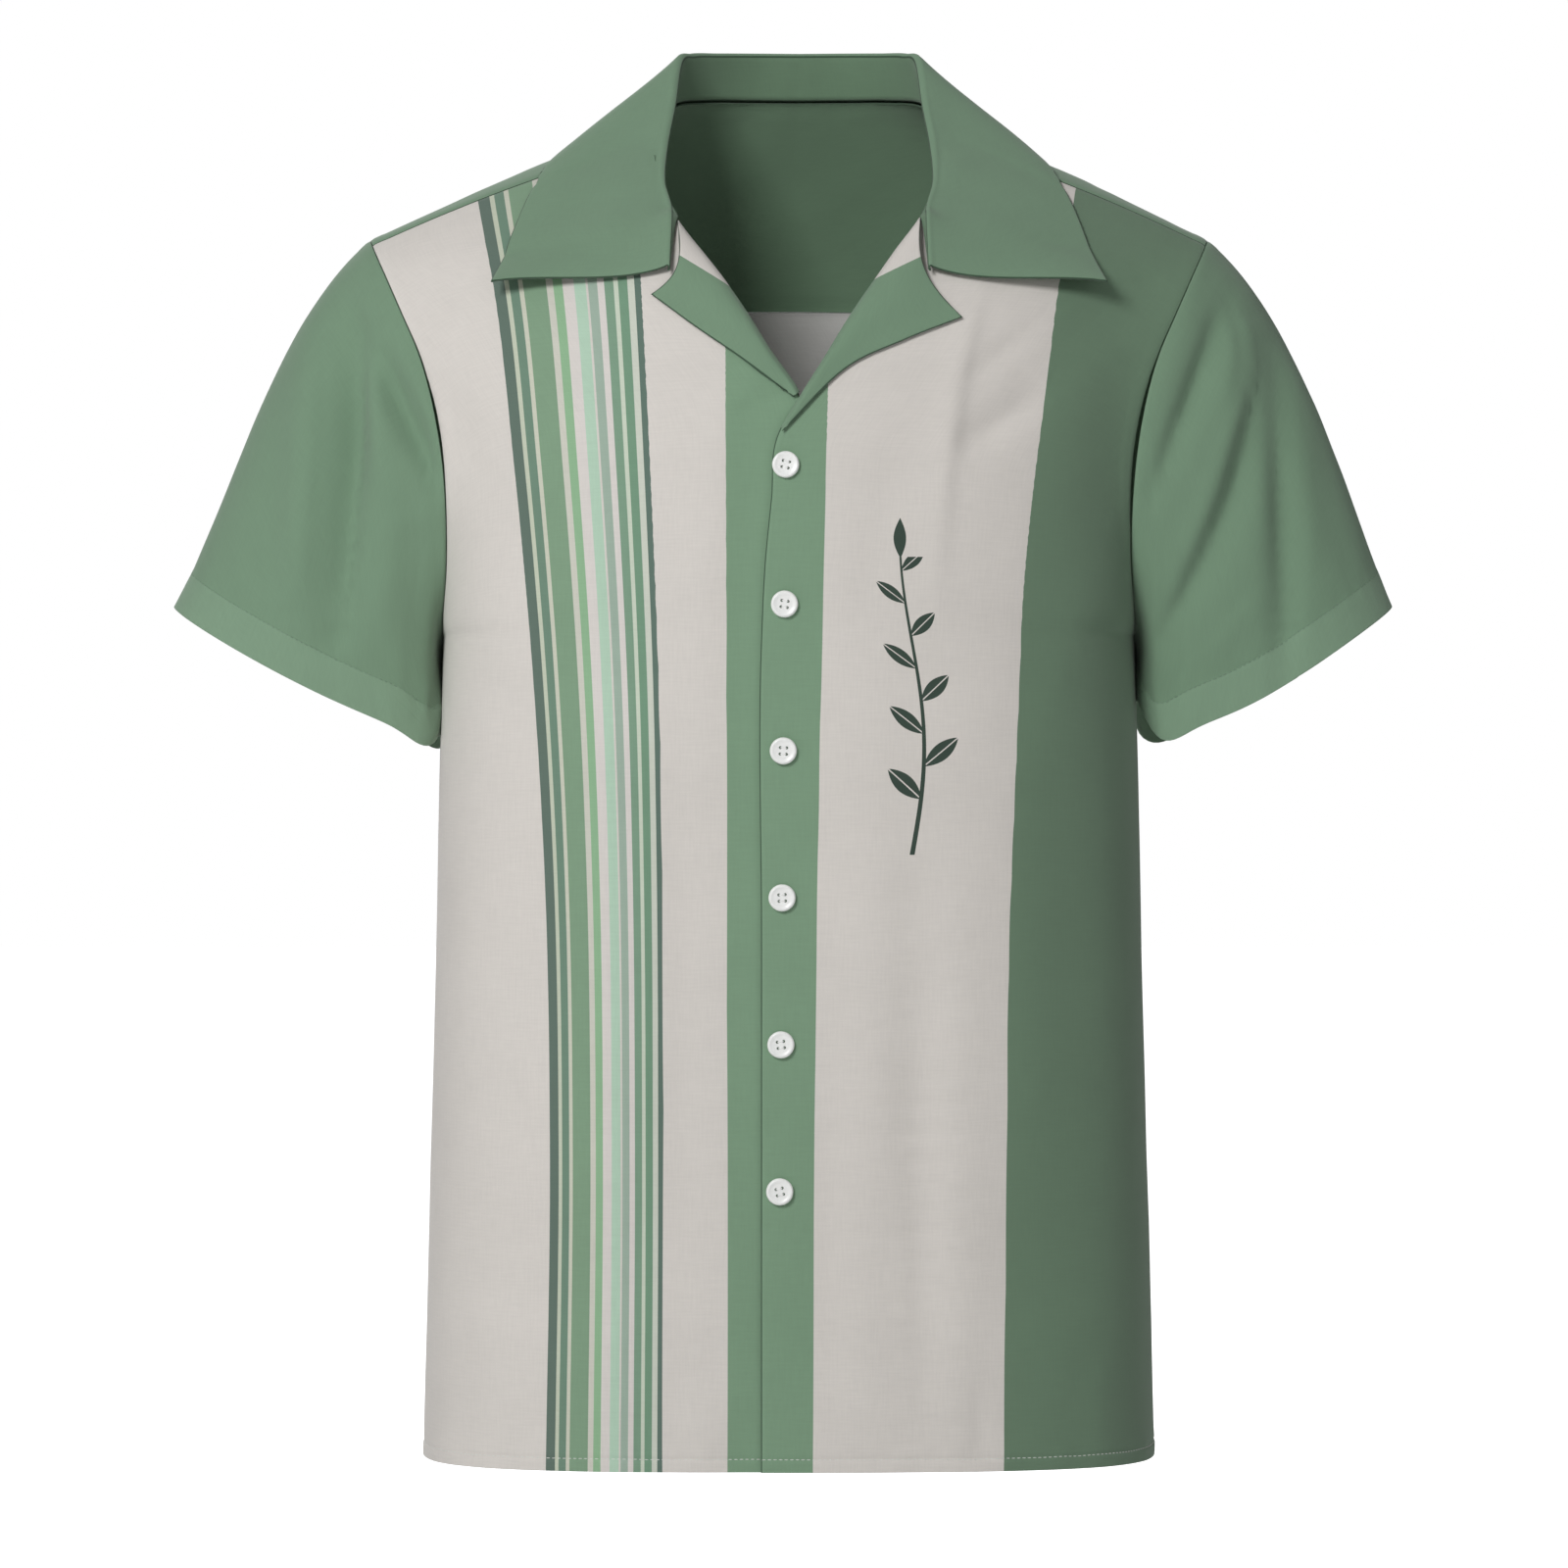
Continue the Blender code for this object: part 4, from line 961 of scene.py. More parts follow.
# %% The sprig as a mask
SPRIG_FOOT, SPRIG_TOP, SPRIG_X = -396.0, -236.0, 66.0
LEAF_PITCH, LEAF_LENGTH, LEAF_HALF_WIDTH, LEAF_TILT = 17.5, 25.0, 4.6, np.radians(40)
SPRIG_STEPS = (
    # result, operation, first, second, third
    ("rise", "SUBTRACT", "z", SPRIG_FOOT, None),
    ("share", "DIVIDE", "rise", SPRIG_TOP - SPRIG_FOOT, None),
    ("bend angle", "MULTIPLY", "share", 4.4, None),
    ("bend", "SINE", "bend angle", None, None),
    ("beside foot", "SUBTRACT", "x", SPRIG_X, None),
    ("beside", "MULTIPLY_ADD", "bend", -6.5, "beside foot"),
    ("beside size", "ABSOLUTE", "beside", None, None),
    ("thin", "MULTIPLY_ADD", "share", -0.75, 1.35),
    ("in stem", "LESS_THAN", "beside size", "thin", None),
    ("above foot", "GREATER_THAN", "rise", 0.0, None),
    ("below top", "LESS_THAN", "share", 1.0, None),
    ("in height", "MULTIPLY", "above foot", "below top", None),
    ("stem", "MULTIPLY", "in stem", "in height", None),
    ("above bare", "SUBTRACT", "rise", 30.0, None),
    ("leafy", "GREATER_THAN", "above bare", 0.0, None),
    ("cell", "DIVIDE", "above bare", LEAF_PITCH, None),
    ("count", "FLOOR", "cell", None, None),
    ("half count", "MULTIPLY", "count", 0.5, None),
    ("odd", "FRACT", "half count", None, None),
    ("side", "MULTIPLY_ADD", "odd", 4.0, -1.0),
    ("within", "FRACT", "cell", None, None),
    ("within mm", "MULTIPLY", "within", LEAF_PITCH, None),
    ("size fall", "MULTIPLY_ADD", "share", -0.42, 1.12),
    ("out", "MULTIPLY", "beside", "side", None),
    ("out scaled", "DIVIDE", "out", "size fall", None),
    ("up scaled", "DIVIDE", "within mm", "size fall", None),
    ("along a", "MULTIPLY", "out scaled", float(np.cos(LEAF_TILT)), None),
    ("along", "MULTIPLY_ADD", "up scaled", float(np.sin(LEAF_TILT)), "along a"),
    ("off a", "MULTIPLY", "out scaled", -float(np.sin(LEAF_TILT)), None),
    ("off", "MULTIPLY_ADD", "up scaled", float(np.cos(LEAF_TILT)), "off a"),
    ("leaf share", "DIVIDE", "along", LEAF_LENGTH, None),
    ("leaf angle", "MULTIPLY", "leaf share", float(np.pi), None),
    ("leaf swell", "SINE", "leaf angle", None, None),
    ("leaf swell clear", "MAXIMUM", "leaf swell", 0.0, None),
    ("leaf round", "POWER", "leaf swell clear", 0.8, None),
    ("leaf edge", "MULTIPLY", "leaf round", LEAF_HALF_WIDTH, None),
    ("off size", "ABSOLUTE", "off", None, None),
    ("in leaf", "LESS_THAN", "off size", "leaf edge", None),
    ("past start", "GREATER_THAN", "leaf share", 0.0, None),
    ("before end", "LESS_THAN", "leaf share", 1.0, None),
    ("in length", "MULTIPLY", "past start", "before end", None),
    ("off rib", "GREATER_THAN", "off size", 0.34, None),
    ("leaf a", "MULTIPLY", "in leaf", "in length", None),
    ("leaf b", "MULTIPLY", "leaf a", "off rib", None),
    ("leaf c", "MULTIPLY", "leaf b", "leafy", None),
    ("leaf", "MULTIPLY", "leaf c", "below top", None),
    ("tip rise", "SUBTRACT", "rise", SPRIG_TOP - SPRIG_FOOT - 1.0, None),
    ("tip share", "DIVIDE", "tip rise", 22.0, None),
    ("tip angle", "MULTIPLY", "tip share", float(np.pi), None),
    ("tip swell", "SINE", "tip angle", None, None),
    ("tip clear", "MAXIMUM", "tip swell", 0.0, None),
    ("tip edge", "MULTIPLY", "tip clear", 3.4, None),
    ("in tip", "LESS_THAN", "beside size", "tip edge", None),
    ("tip low", "GREATER_THAN", "tip share", 0.0, None),
    ("tip high", "LESS_THAN", "tip share", 1.0, None),
    ("tip span", "MULTIPLY", "tip low", "tip high", None),
    ("tip", "MULTIPLY", "in tip", "tip span", None),
    ("grown", "MAXIMUM", "stem", "leaf", None),
    ("sprig", "MAXIMUM", "grown", "tip", None),
)


def with_sprig(ground, dye):
    """The ground's nodes, with the sprig printed over them."""
    def colour(tree):
        under = ground(tree)
        place = add(tree, "ShaderNodeTexCoord").outputs["Object"]
        scaled = add(tree, "ShaderNodeVectorMath", {"operation": "SCALE"},
                     {0: place, "Scale": 1 / MM})
        part = add(tree, "ShaderNodeSeparateXYZ", sockets={0: scaled.outputs[0]})
        found = {"x": part.outputs["X"], "z": part.outputs["Z"]}
        for result, operation, *values in SPRIG_STEPS:
            sockets = {count: found.get(value, value) if isinstance(value, str) else value
                       for count, value in enumerate(values) if value is not None}
            found[result] = add(tree, "ShaderNodeMath", {"operation": operation},
                                sockets).outputs[0]
        printed = add(tree, "ShaderNodeMix", {"data_type": "RGBA"}, {
            0: found["sprig"], 6: under, 7: linear(dye)})
        return printed.outputs[2]
    return colour


sided = stepped([(0, BAND_GREEN), (1, OATMEAL), (2, SIDE_GREEN_PAINTED_SHADE)], 3)
striped_cotton = cotton("printed woven cotton, green stripes on oatmeal", striped)
sprig_cotton = cotton("printed woven cotton, oatmeal with a leaf sprig",
                      with_sprig(sided, "#38493f"))
print("sprig steps:", len(SPRIG_STEPS))

# %% [markdown]
# ## The fronts
#
# Each front is one panel from the hem to the shoulder seam, with the armhole cut out of
# its outer edge and its inner edge turned under as the overlap. Its hem is turned up
# 7 mm and stitched, which leaves a shallow band with small puckers above it. Each piece
# stops a hair short of the seams that it shares, which is what the small numbers in its
# spans are for, so that neighbours keep apart along them.

# %% Cut both fronts
ROLL_SHORT = 0.9        # mm by which a front stops short of its roll, under the lapel
SEAM_DIP, SEAM_ROLL = 0.18, 0.22     # mm: how far an edge turns in, and swells beside it
NO_SEAM = 50.0                       # mm, the "seam" value of cloth far from any line
HEM_WIDTH = 7.0                      # mm
HEM_RISE, HEM_GROOVE, HEM_PUCKER = 0.30, 0.50, 0.50     # mm, across the turned hem


def sewn(distance):
    """Relief beside a sewn edge: it turns in, then the folded allowance swells."""
    return (-SEAM_DIP * np.exp(-(distance / 0.9)**2)
            + SEAM_ROLL * (1 - fade(distance, 6.0, 9.0)) * fade(distance, 0.5, 2.5))


def hemmed(along, up, width, seed, puckered=1.0):
    """Relief of a turned hem of that width, up from its edge, with puckers along it."""
    pucker = bumps(along, 0 * up, 9.0, seed) + 0.6 * bumps(along, 0 * up, 23.0, seed + 1)
    near = np.exp(-((up - width) / (0.45 * width + 2.0))**2)
    groove = np.exp(-((up - width) / 0.8)**2)
    band = 1 - fade(up, width - 0.4, width + 0.6)
    return HEM_RISE * band - HEM_GROOVE * groove + HEM_PUCKER * puckered * pucker * near


def soft(across, along, seed, size=1.0):
    """Small unevenness that no ironed cloth is free of."""
    return size * (0.30 * bumps(across, along, 46.0, seed)
                   + 0.12 * bumps(across, along, 19.0, seed + 7))


def front_piece(side, name, face, lines, seed):
    """One front, from its hem to its shoulder seam."""
    def surface(u, v):
        return front(side, u, v, ROLL_SHORT)
    high = line_length(surface, u=0.4)
    wide = line_length(surface, v=0.3)
    v, _ = shares(surface, spaced(high, CELL, HEM_LINES, SEAM_LINES), u=0.4,
                  span=(0.0, 1 - 0.0006))
    u, _ = shares(surface, spaced(wide, CELL, SEAM_LINES, SEAM_LINES), v=0.3,
                  span=(0.0, 1 - 0.0002))
    u, v = np.meshgrid(u, v, indexing="ij")
    places = surface(u, v)
    normal = outward(places) * side
    flat = points(lengths(places, 0), lengths(places, 1), 0)[..., :2]
    to_edge, to_side = flat[..., 0], flat[-1:, :, 0] - flat[..., 0]
    to_hem, to_shoulder = flat[..., 1], flat[:, -1:, 1] - flat[..., 1]
    hangs = fade(to_side, 0, 14) * fade(to_shoulder, 0, 12)
    creases = fold_relief(places[..., 0], places[..., 2], FRONT_CREASES[side])
    turned = -0.4 * np.exp(-(to_edge / 0.8)**2)
    relief = (creases * hangs * np.abs(normal[..., 1]) * fade(to_edge, 0, 10)
              + sewn(to_side) + sewn(to_shoulder) + turned
              + hemmed(flat[..., 0], to_hem, HEM_WIDTH, seed)
              + soft(flat[..., 0], flat[..., 1], seed) * hangs)
    places = places + normal * relief[..., None]
    armhole_rows = places[..., 2] > ARMPIT_Z - 4
    seam = np.minimum(np.where(armhole_rows, to_side, NO_SEAM), to_shoulder)
    seam = np.minimum(seam, to_edge * EDGE_LINE)
    layers = {"seam": seam, "print": across_print(places[..., 0], places[..., 2], *lines)}
    mesh = grid_mesh(name, places, flat, layers, flip=side < 0)
    print(f"  {name}: {wide:.0f} x {high:.0f} mm")
    return cloth_piece(name, f"front_{'left' if side > 0 else 'right'}",
                       mesh, face,
                       pale_reverse)


front_piece(1, "left_front", sprig_cotton, (BAND_LEFT, GREEN_SIDE), 11)
front_piece(-1, "right_front", striped_cotton, (STRIPE_START, STRIPE_END, BAND_RIGHT), 23)

# %% [markdown]
# ## The back and the yoke
#
# The back is one wide panel, and the yoke above it comes over the shoulders to the front,
# where its seam lies just ahead of the ridge. Seen through the neck, the yoke shows its
# green inner side, painted a deeper green as painted shade, and the back its pale reverse.

# %% Cut the back and the yoke
def back_piece():
    """The back, from its hem to the yoke seam."""
    high = line_length(back, u=0.0)
    wide = line_length(back, v=0.3, span=(-1.0, 1.0))
    v, _ = shares(back, spaced(high, CELL * 1.2, HEM_LINES, SEAM_LINES), u=0.0,
                  span=(0.0, 1 - 0.0001))
    u, _ = shares(back, spaced(wide, CELL * 1.2, SEAM_LINES, SEAM_LINES), v=0.3,
                  span=(-1 + 0.0005, 1 - 0.0005))
    u, v = np.meshgrid(u, v, indexing="ij")
    places = back(u, v)
    normal = -outward(places)
    flat = points(lengths(places, 0), lengths(places, 1), 0)[..., :2]
    to_side = np.minimum(flat[..., 0], flat[-1:, :, 0] - flat[..., 0])
    to_hem, to_yoke = flat[..., 1], flat[:, -1:, 1] - flat[..., 1]
    hangs = fade(to_side, 0, 14) * fade(to_yoke, 0, 12)
    relief = (fold_relief(places[..., 0], places[..., 2], BACK_CREASES) * hangs
              * np.abs(normal[..., 1]) + sewn(to_side) + sewn(to_yoke)
              + hemmed(flat[..., 0], to_hem, HEM_WIDTH, 37)
              + soft(flat[..., 0], flat[..., 1], 41) * hangs)
    places = places + normal * relief[..., None]
    seam = np.minimum(np.where(places[..., 2] > ARMPIT_Z - 4, to_side, NO_SEAM), to_yoke)
    mesh = grid_mesh("back_panel", places, flat, {"seam": seam}, flip=True)
    print(f"  back_panel: {wide:.0f} x {high:.0f} mm")
    return cloth_piece("back_panel", "back", mesh, oatmeal_cotton,
                       pale_reverse)


def yoke_piece():
    """The yoke, round the neck from one shoulder seam to the other."""
    wide = line_length(yoke, v=0.5, span=(-1.0, 1.0))
    high = line_length(yoke, u=0.4)
    v, _ = shares(yoke, spaced(high, CELL, SEAM_LINES, SEAM_LINES), u=0.4,
                  span=(0.0015, 1 - 0.0002))
    u, _ = shares(yoke, spaced(wide, CELL, SEAM_LINES, SEAM_LINES), v=0.5,
                  span=(-1 + 0.0004, 1 - 0.0004))
    u, v = np.meshgrid(u, v, indexing="ij")
    places = yoke(u, v)
    normal = outward(places)
    flat = points(lengths(places, 0), lengths(places, 1), 0)[..., :2]
    to_shoulder = np.minimum(flat[..., 0], flat[-1:, :, 0] - flat[..., 0])
    to_neck, to_back = flat[..., 1], flat[:, -1:, 1] - flat[..., 1]
    hangs = fade(to_shoulder, 0, 12) * fade(to_neck, 0, 12) * fade(to_back, 0, 12)
    relief = (sewn(to_shoulder) + sewn(to_back) + sewn(to_neck)
              + soft(flat[..., 0], flat[..., 1], 53) * hangs)
    places = places + normal * relief[..., None]
    seam = np.minimum(np.minimum(to_shoulder, to_back), to_neck)
    mesh = grid_mesh("yoke_panel", places, flat, {"seam": seam})
    print(f"  yoke_panel: {wide:.0f} x {high:.0f} mm")
    return cloth_piece("yoke_panel", "yoke", mesh, sage_cotton, sage_reverse_painted_shade)


back_piece()
yoke_piece()

# %% [markdown]
# ## The sleeves
#
# A set-in sleeve is a tube from the armhole to its hem. It could start as a cylinder, but
# a flat grid keeps the weave's lengths true, so the grid is rolled into a tube and welded
# where it meets itself. The hem is turned up 21 mm, a deep one: its layers stand out a
# little towards the edge, and it puckers most near the underarm. There the sleeve also
# swells, so that it rests against the side of the body with no daylight between them.

# %% Set in both sleeves
CUFF_WIDTH, CUFF_FLARE = 21.0, 0.05     # mm, and how far it spreads for each mm of width
UNDERARM, UNDERARM_SPREAD = 0.40, 0.13  # shares of the way round where the hem puckers most
SNUG, SNUG_AT, SNUG_SPREAD = 4.5, 0.48, 0.07    # mm towards the body, and where round it
SNUG_FADE = (30, 90)                    # mm above the hem where that has gone
RING = 150.0            # mm, radius of the ring that keeps noise whole all the way round
FOLD_UNEVEN, FOLD_WAVE = 1.6, 7.0       # mm, how the turned hem's upper edge wanders
# The armhole's dark line is painted shade; the sleeve's "seam" value starts above 0, so the
# front's edge draws most of it.
SLEEVE_SEAM_FROM = 0.24         # mm: the front's edge draws most of the armhole's line


def sleeve_piece(side, name, seed):
    """One sleeve, from its armhole to its hem."""
    def surface(u, v):
        return sleeve(side, u, v)
    high = line_length(surface, u=0.2)
    round_about = line_length(surface, v=0.5)
    v, _ = shares(surface, spaced(high, CELL, SEAM_LINES, CUFF_LINES), u=0.2,
                  span=(0.0002, 1.0))
    u, _ = shares(surface, spaced(round_about, CELL), v=0.5)
    u, v = np.meshgrid(u, v, indexing="ij")
    places = surface(u, v)
    normal = outward(places, round_trip=True) * side
    flat = points(lengths(places, 0), lengths(places, 1), 0)[..., :2]
    to_armhole, to_hem = flat[..., 1], flat[:, -1:, 1] - flat[..., 1]
    under = np.exp(-((u - UNDERARM) / UNDERARM_SPREAD)**2)
    hangs = fade(to_armhole, 0, 12)
    ring = np.sin(2 * np.pi * u) * RING, np.cos(2 * np.pi * u) * RING
    round_ring = ring[0] + 0.3 * ring[1]
    relief = (fold_relief(places[..., 0], places[..., 2], SLEEVE_CREASES[side]) * hangs
              * np.abs(normal[..., 1]) * np.where(places[..., 1] < ARM_Y, 1, 0.7)
              + sewn(to_armhole)
              + hemmed(round_ring, to_hem, CUFF_WIDTH, seed, 0.6 + 1.9 * under)
              + SNUG * np.exp(-((u - SNUG_AT) / SNUG_SPREAD)**2)
              * (1 - fade(to_hem, *SNUG_FADE))
              + CUFF_FLARE * np.maximum(CUFF_WIDTH - to_hem, 0)
              + soft(ring[0], ring[1] + flat[..., 1], seed + 3) * hangs)
    places = places + normal * relief[..., None]
    places[-1] = places[0]
    wander = FOLD_UNEVEN * bumps(round_ring, 0 * to_hem, FOLD_WAVE, seed + 5) * under
    # On a sleeve, "print" marks the turned hem, which the finish paints lighter as painted
    # light.
    layers = {"seam": SLEEVE_SEAM_FROM + to_armhole, "print": (to_hem + wander) / CUFF_WIDTH}
    mesh = grid_mesh(name, places, flat, layers, flip=side < 0, weld=True)
    print(f"  {name}: {round_about:.0f} x {high:.0f} mm")
    return cloth_piece(name, f"sleeve_{'left' if side > 0 else 'right'}",
                       mesh, cuff_painted_light_cotton, sage_reverse_painted_shade)


# The turned hem is painted a little lighter than the rest, as painted light on the flared
# band.
CUFF_SAGE_PAINTED_LIGHT = "#819e84"
cuff_painted_light_cotton = cotton("matt woven cotton, sage green, hem painted lighter as light",
                       stepped([(0, CUFF_SAGE_PAINTED_LIGHT), (1, SAGE)], 2))
sleeve_piece(1, "left_sleeve", 61)
sleeve_piece(-1, "right_sleeve", 71)

# %% [markdown]
# ## A skin to lay things on
#
# The collar and the lapels lie on the fronts and the yoke. So that they follow every fold
# under them, the finished panels are gathered into one searchable tree, and points of
# the collar ask it where the cloth is and which way it faces.

# %% Gather the panels into a tree
skin = bmesh.new()
for name in ("left_front", "right_front", "yoke_panel"):
    skin.from_mesh(made_pieces[name].data)
tree_of_skin = BVHTree.FromBMesh(skin)
skin.free()
SKIN_FRONT_Y = -400.0
OUT_FROM_Y, OUT_RISE = 20.0, 60.0


def body_depth(x, z):
    """y of the garment's front face behind a point seen from the front."""
    hit = tree_of_skin.ray_cast(Vector((x, SKIN_FRONT_Y, z)) * MM, Vector((0, 1, 0)))[0]
    return hit.y / MM if hit else None


def clear_of_body(place, clearance):
    """The point, moved out until it stands clear of the garment's face."""
    spot = Vector(place) * MM
    out = Vector((place[0] - NECK_X, place[1] - OUT_FROM_Y, OUT_RISE)).normalized()
    for _ in range(3):
        near, facing, _, _ = tree_of_skin.find_nearest(spot)
        if facing.dot(out) < 0:
            facing = -facing
        height = (spot - near).dot(facing) / MM
        if height < clearance:
            spot = spot + facing * (clearance - height) * MM
    return np.array(spot) / MM


print("depth of the cloth at the left chest:", round(body_depth(110, -200), 1))

# %% [markdown]
# ## The collar
#
# A camp collar is one piece: a stand that rises from the neck seam, a fold, and a fall
# that lies on the shoulders. Its section changes all the way round, from steep at the
# nape to flat on the chest, so it is a surface again: up the stand, over a small round
# fold, and down a curve that ends on the cloth.

# %% Collar sizes
COLLAR = (
    # run, fold out, y, z, edge out, y, z
    (0.00, 0.0, 68.0, 53.0, 0.0, 90.0, 6.0),
    (0.15, 24.0, 66.0, 53.0, 42.0, 87.0, 3.5),
    (0.30, 46.0, 55.0, 52.0, 82.0, 68.0, -4.5),
    (0.42, 60.0, 41.0, 50.5, 114.0, 36.0, -13.5),
    (0.52, 67.0, 28.0, 46.5, 133.0, 7.0, -20.0),
    (0.62, 70.5, 6.0, 21.0, 140.5, -9.0, -30.0),
    (0.74, 74.5, -17.0, -5.0, 148.5, -25.0, -42.5),
    (0.84, 75.0, -39.0, -27.0, 156.5, -45.0, -58.5),
    (0.92, 70.5, -60.0, -46.0, 162.0, -60.0, -72.0),
    (1.00, 71.5, -88.0, -77.0, 167.5, -78.0, -84.5),
)
COLLAR_FRONT_RUN = 0.92     # from here on the collar is sewn to the lapel, not to the neck
COLLAR_ROLL, COLLAR_END_ROLL = 2.6, 1.6
COLLAR_TIGHTEN = (0.70, 0.95)
COLLAR_TURN = np.radians(140)
COLLAR_STAND, COLLAR_FOLD = 0.30, 0.45
COLLAR_LAY, COLLAR_FOOT, COLLAR_LEVEL, COLLAR_FRONT_LIFT = 2.4, 1.5, 2.0, 6.0
FALL_REACH, FALL_SPRING = 0.3, 0.4      # of the fall: each handle's length, and how it springs
COLLAR_THICK = 1.1


def collar_section(seam, fold, edge, out, roll, sewn_on, v):
    """Point at v across the collar: up the stand, over the fold, down the fall."""
    up = np.array([0.0, 0.0, 1.0])
    centre = fold - up * roll
    stand_top = centre - out * roll
    foot = seam * (1 - sewn_on) + (stand_top - up * COLLAR_FOOT) * sewn_on
    if v < COLLAR_STAND:
        return foot + (stand_top - foot) * v / COLLAR_STAND
    turn = COLLAR_TURN * min(1, (v - COLLAR_STAND) / (COLLAR_FOLD - COLLAR_STAND))
    leave = centre + roll * (up * np.sin(turn) - out * np.cos(turn))
    if v < COLLAR_FOLD:
        return leave
    way = up * np.cos(turn) + out * np.sin(turn)
    fall = edge - leave
    belly = leave + FALL_REACH * (FALL_SPRING * np.linalg.norm(fall) * way
                                  + (1 - FALL_SPRING) * fall)
    end = edge - FALL_REACH * fall + up * COLLAR_LEVEL
    return bezier(leave, belly, end, edge, np.array((v - COLLAR_FOLD) / (1 - COLLAR_FOLD)))


def collar_form(u, v):
    """The collar, u from -1 at the right front to 1 at the left, v from seam to free edge."""
    side = np.where(u < 0, -1.0, 1.0)
    run = np.abs(u)
    shape = through(COLLAR, run)
    fold = points(NECK_X + side * shape[..., 0], shape[..., 1], shape[..., 2])
    edge = points(NECK_X + side * shape[..., 3], shape[..., 4], shape[..., 5])
    seam = neck_seam(side, np.clip(run / COLLAR_FRONT_RUN, 0, 1)) + [0, 0, 1]
    on_front = np.clip((run - COLLAR_FRONT_RUN) / (1 - COLLAR_FRONT_RUN), 0, 1)
    roll = COLLAR_ROLL + (COLLAR_END_ROLL - COLLAR_ROLL) * np.interp(run, COLLAR_TIGHTEN,
                                                                     (0, 1))
    level = (edge - fold) * [1, 1, 0]
    out = level / np.linalg.norm(level, axis=-1, keepdims=True)
    places = np.empty((*u.shape, 3))
    for i in range(u.shape[0]):
        lying = clear_of_body(edge[i, 0], COLLAR_LAY)
        top = fold[i, 0]
        if on_front[i, 0] > 0:
            top = clear_of_body(top, COLLAR_FRONT_LIFT)
        for j in range(u.shape[1]):
            place = collar_section(seam[i, 0], top, lying, out[i, 0], roll[i, 0],
                                   on_front[i, 0], v[i, j])
            if v[i, j] > COLLAR_FOLD:
                place = clear_of_body(place, COLLAR_LAY)
            places[i, j] = place
    return places


def smoothed(places, rounds):
    """The grid with each inner place drawn towards its neighbours, its edges kept."""
    places = places.copy()
    for _ in range(rounds):
        inner = places[1:-1, 1:-1]
        around = (places[:-2, 1:-1] + places[2:, 1:-1] + places[1:-1, :-2]
                  + places[1:-1, 2:]) / 4
        places[1:-1, 1:-1] = 0.5 * inner + 0.5 * around
    return places


COLLAR_LONG, FALL_WIDE = 640.0, 92.0    # mm, about: they only set how close the lines lie
stand = np.linspace(0, COLLAR_STAND, 9)[:-1]
over = np.linspace(COLLAR_STAND, COLLAR_FOLD, 11)[:-1]
fall = spaced(FALL_WIDE, CELL, (0.0,), SEAM_LINES[:6]) / FALL_WIDE
fall = COLLAR_FOLD + (1 - COLLAR_FOLD) * fall
fold_line, fall_start = len(stand) + 1, len(stand) + len(over) + 1
collar_u = spaced(COLLAR_LONG, CELL, SEAM_LINES, SEAM_LINES) / (COLLAR_LONG / 2) - 1
u, v = np.meshgrid(collar_u, np.concatenate([stand, over, fall]), indexing="ij")
collar_places = collar_form(u, v)
collar_places[:, fall_start:] = smoothed(collar_places[:, fall_start:], 4)
normal = outward(collar_places)
flat = points(lengths(collar_places, 0), lengths(collar_places, 1), 0)[..., :2]
to_end = np.minimum(flat[..., 0], flat[-1:, :, 0] - flat[..., 0])
to_seam, to_free = flat[..., 1], flat[:, -1:, 1] - flat[..., 1]
round_edge = np.minimum(to_end, to_free)
relief = (-0.45 * np.exp(-(round_edge / 0.8)**2)
          + 0.25 * bumps(flat[..., 0], flat[..., 1], 38.0, 83) * fade(round_edge, 2, 14)
          * (v > COLLAR_FOLD))
collar_places = collar_places + normal * relief[..., None]
before_fold = to_seam[:, fold_line:fold_line + 1] - to_seam
# The "seam" distance draws thin lines of painted shade along the collar's edges, its seam and
# its fold.
seam = np.minimum(np.minimum(round_edge, to_seam), np.abs(before_fold)) * EDGE_LINE
# Where "print" passes 1, on the stand, the collar takes the deeper green: painted shade for
# the hollow of the neck.
inner = np.clip(0.5 + before_fold / 2, 0.02, 1.98)
mesh = grid_mesh("camp_collar", collar_places, flat, {"seam": seam, "print": inner})
collar_cotton_painted_stand_shade = cotton("matt woven cotton, sage green with a deeper stand",
                       stepped([(0, SAGE), (0.5, SAGE_PAINTED_SHADE)], 2))
cloth_piece("camp_collar", "collar", mesh, collar_cotton_painted_stand_shade, sage_reverse_painted_shade,
            COLLAR_THICK)
print(f"  camp_collar: {flat[..., 0].max():.0f} x {flat[..., 1].max():.0f} mm")

# %% [markdown]
# ## The lapels
#
# Above the break the fronts turn out, and what shows there is their facing. Each lapel
# starts inside the neck, wraps round the front's edge at the roll line, puffs a little
# where the cloth springs, and settles on the front at its free edge. A notch steps in
# where it meets the collar. The print runs over it too: green with a pale upper corner.

# %% Lapel sizes and shape
LAPEL_EDGE = {
    # side: (run, height on the roll line, edge x, edge z)
    1: (
        (0.00, -48.5, 93.9, -105.5),
        (0.33, -85, 62.0, -118.5),
        (0.66, -124, 30.0, -134.5),
        (1.00, -166, -3.5, -168.5),
    ),
    -1: (
        (0.00, -50, -74.7, -92.8),
        (0.33, -82, -50.5, -111.0),
        (0.66, -114, -25.5, -128.5),
        (1.00, -147, 2.0, -149.5),
    ),
}
LAPEL_NOTCH = {1: (9.0, -2.0), -1: (7.0, -5.4)}
LAPEL_LAY, LAPEL_PUFF, LAPEL_FULL_WIDTH = 2.6, 5.0, 45.0
LAPEL_WIDE, LAPEL_LONG = 60.0, {1: 135.0, -1: 115.0}    # mm, about, to space the lines by
LAPEL_WRAP = 1.3            # radius of the cloth where it comes round from the inside
EDGE_CLEAR = 2.0            # how far inside the front's edge its cloth is sure to be found
LAPEL_PALE = {
    # side: the line between the pale corner and the green, x0, z0, x1, z1
    1: (78.0, -69.0, 47.2, -84.3),
    -1: (-60.0, -71.0, -30.0, -90.0),
}


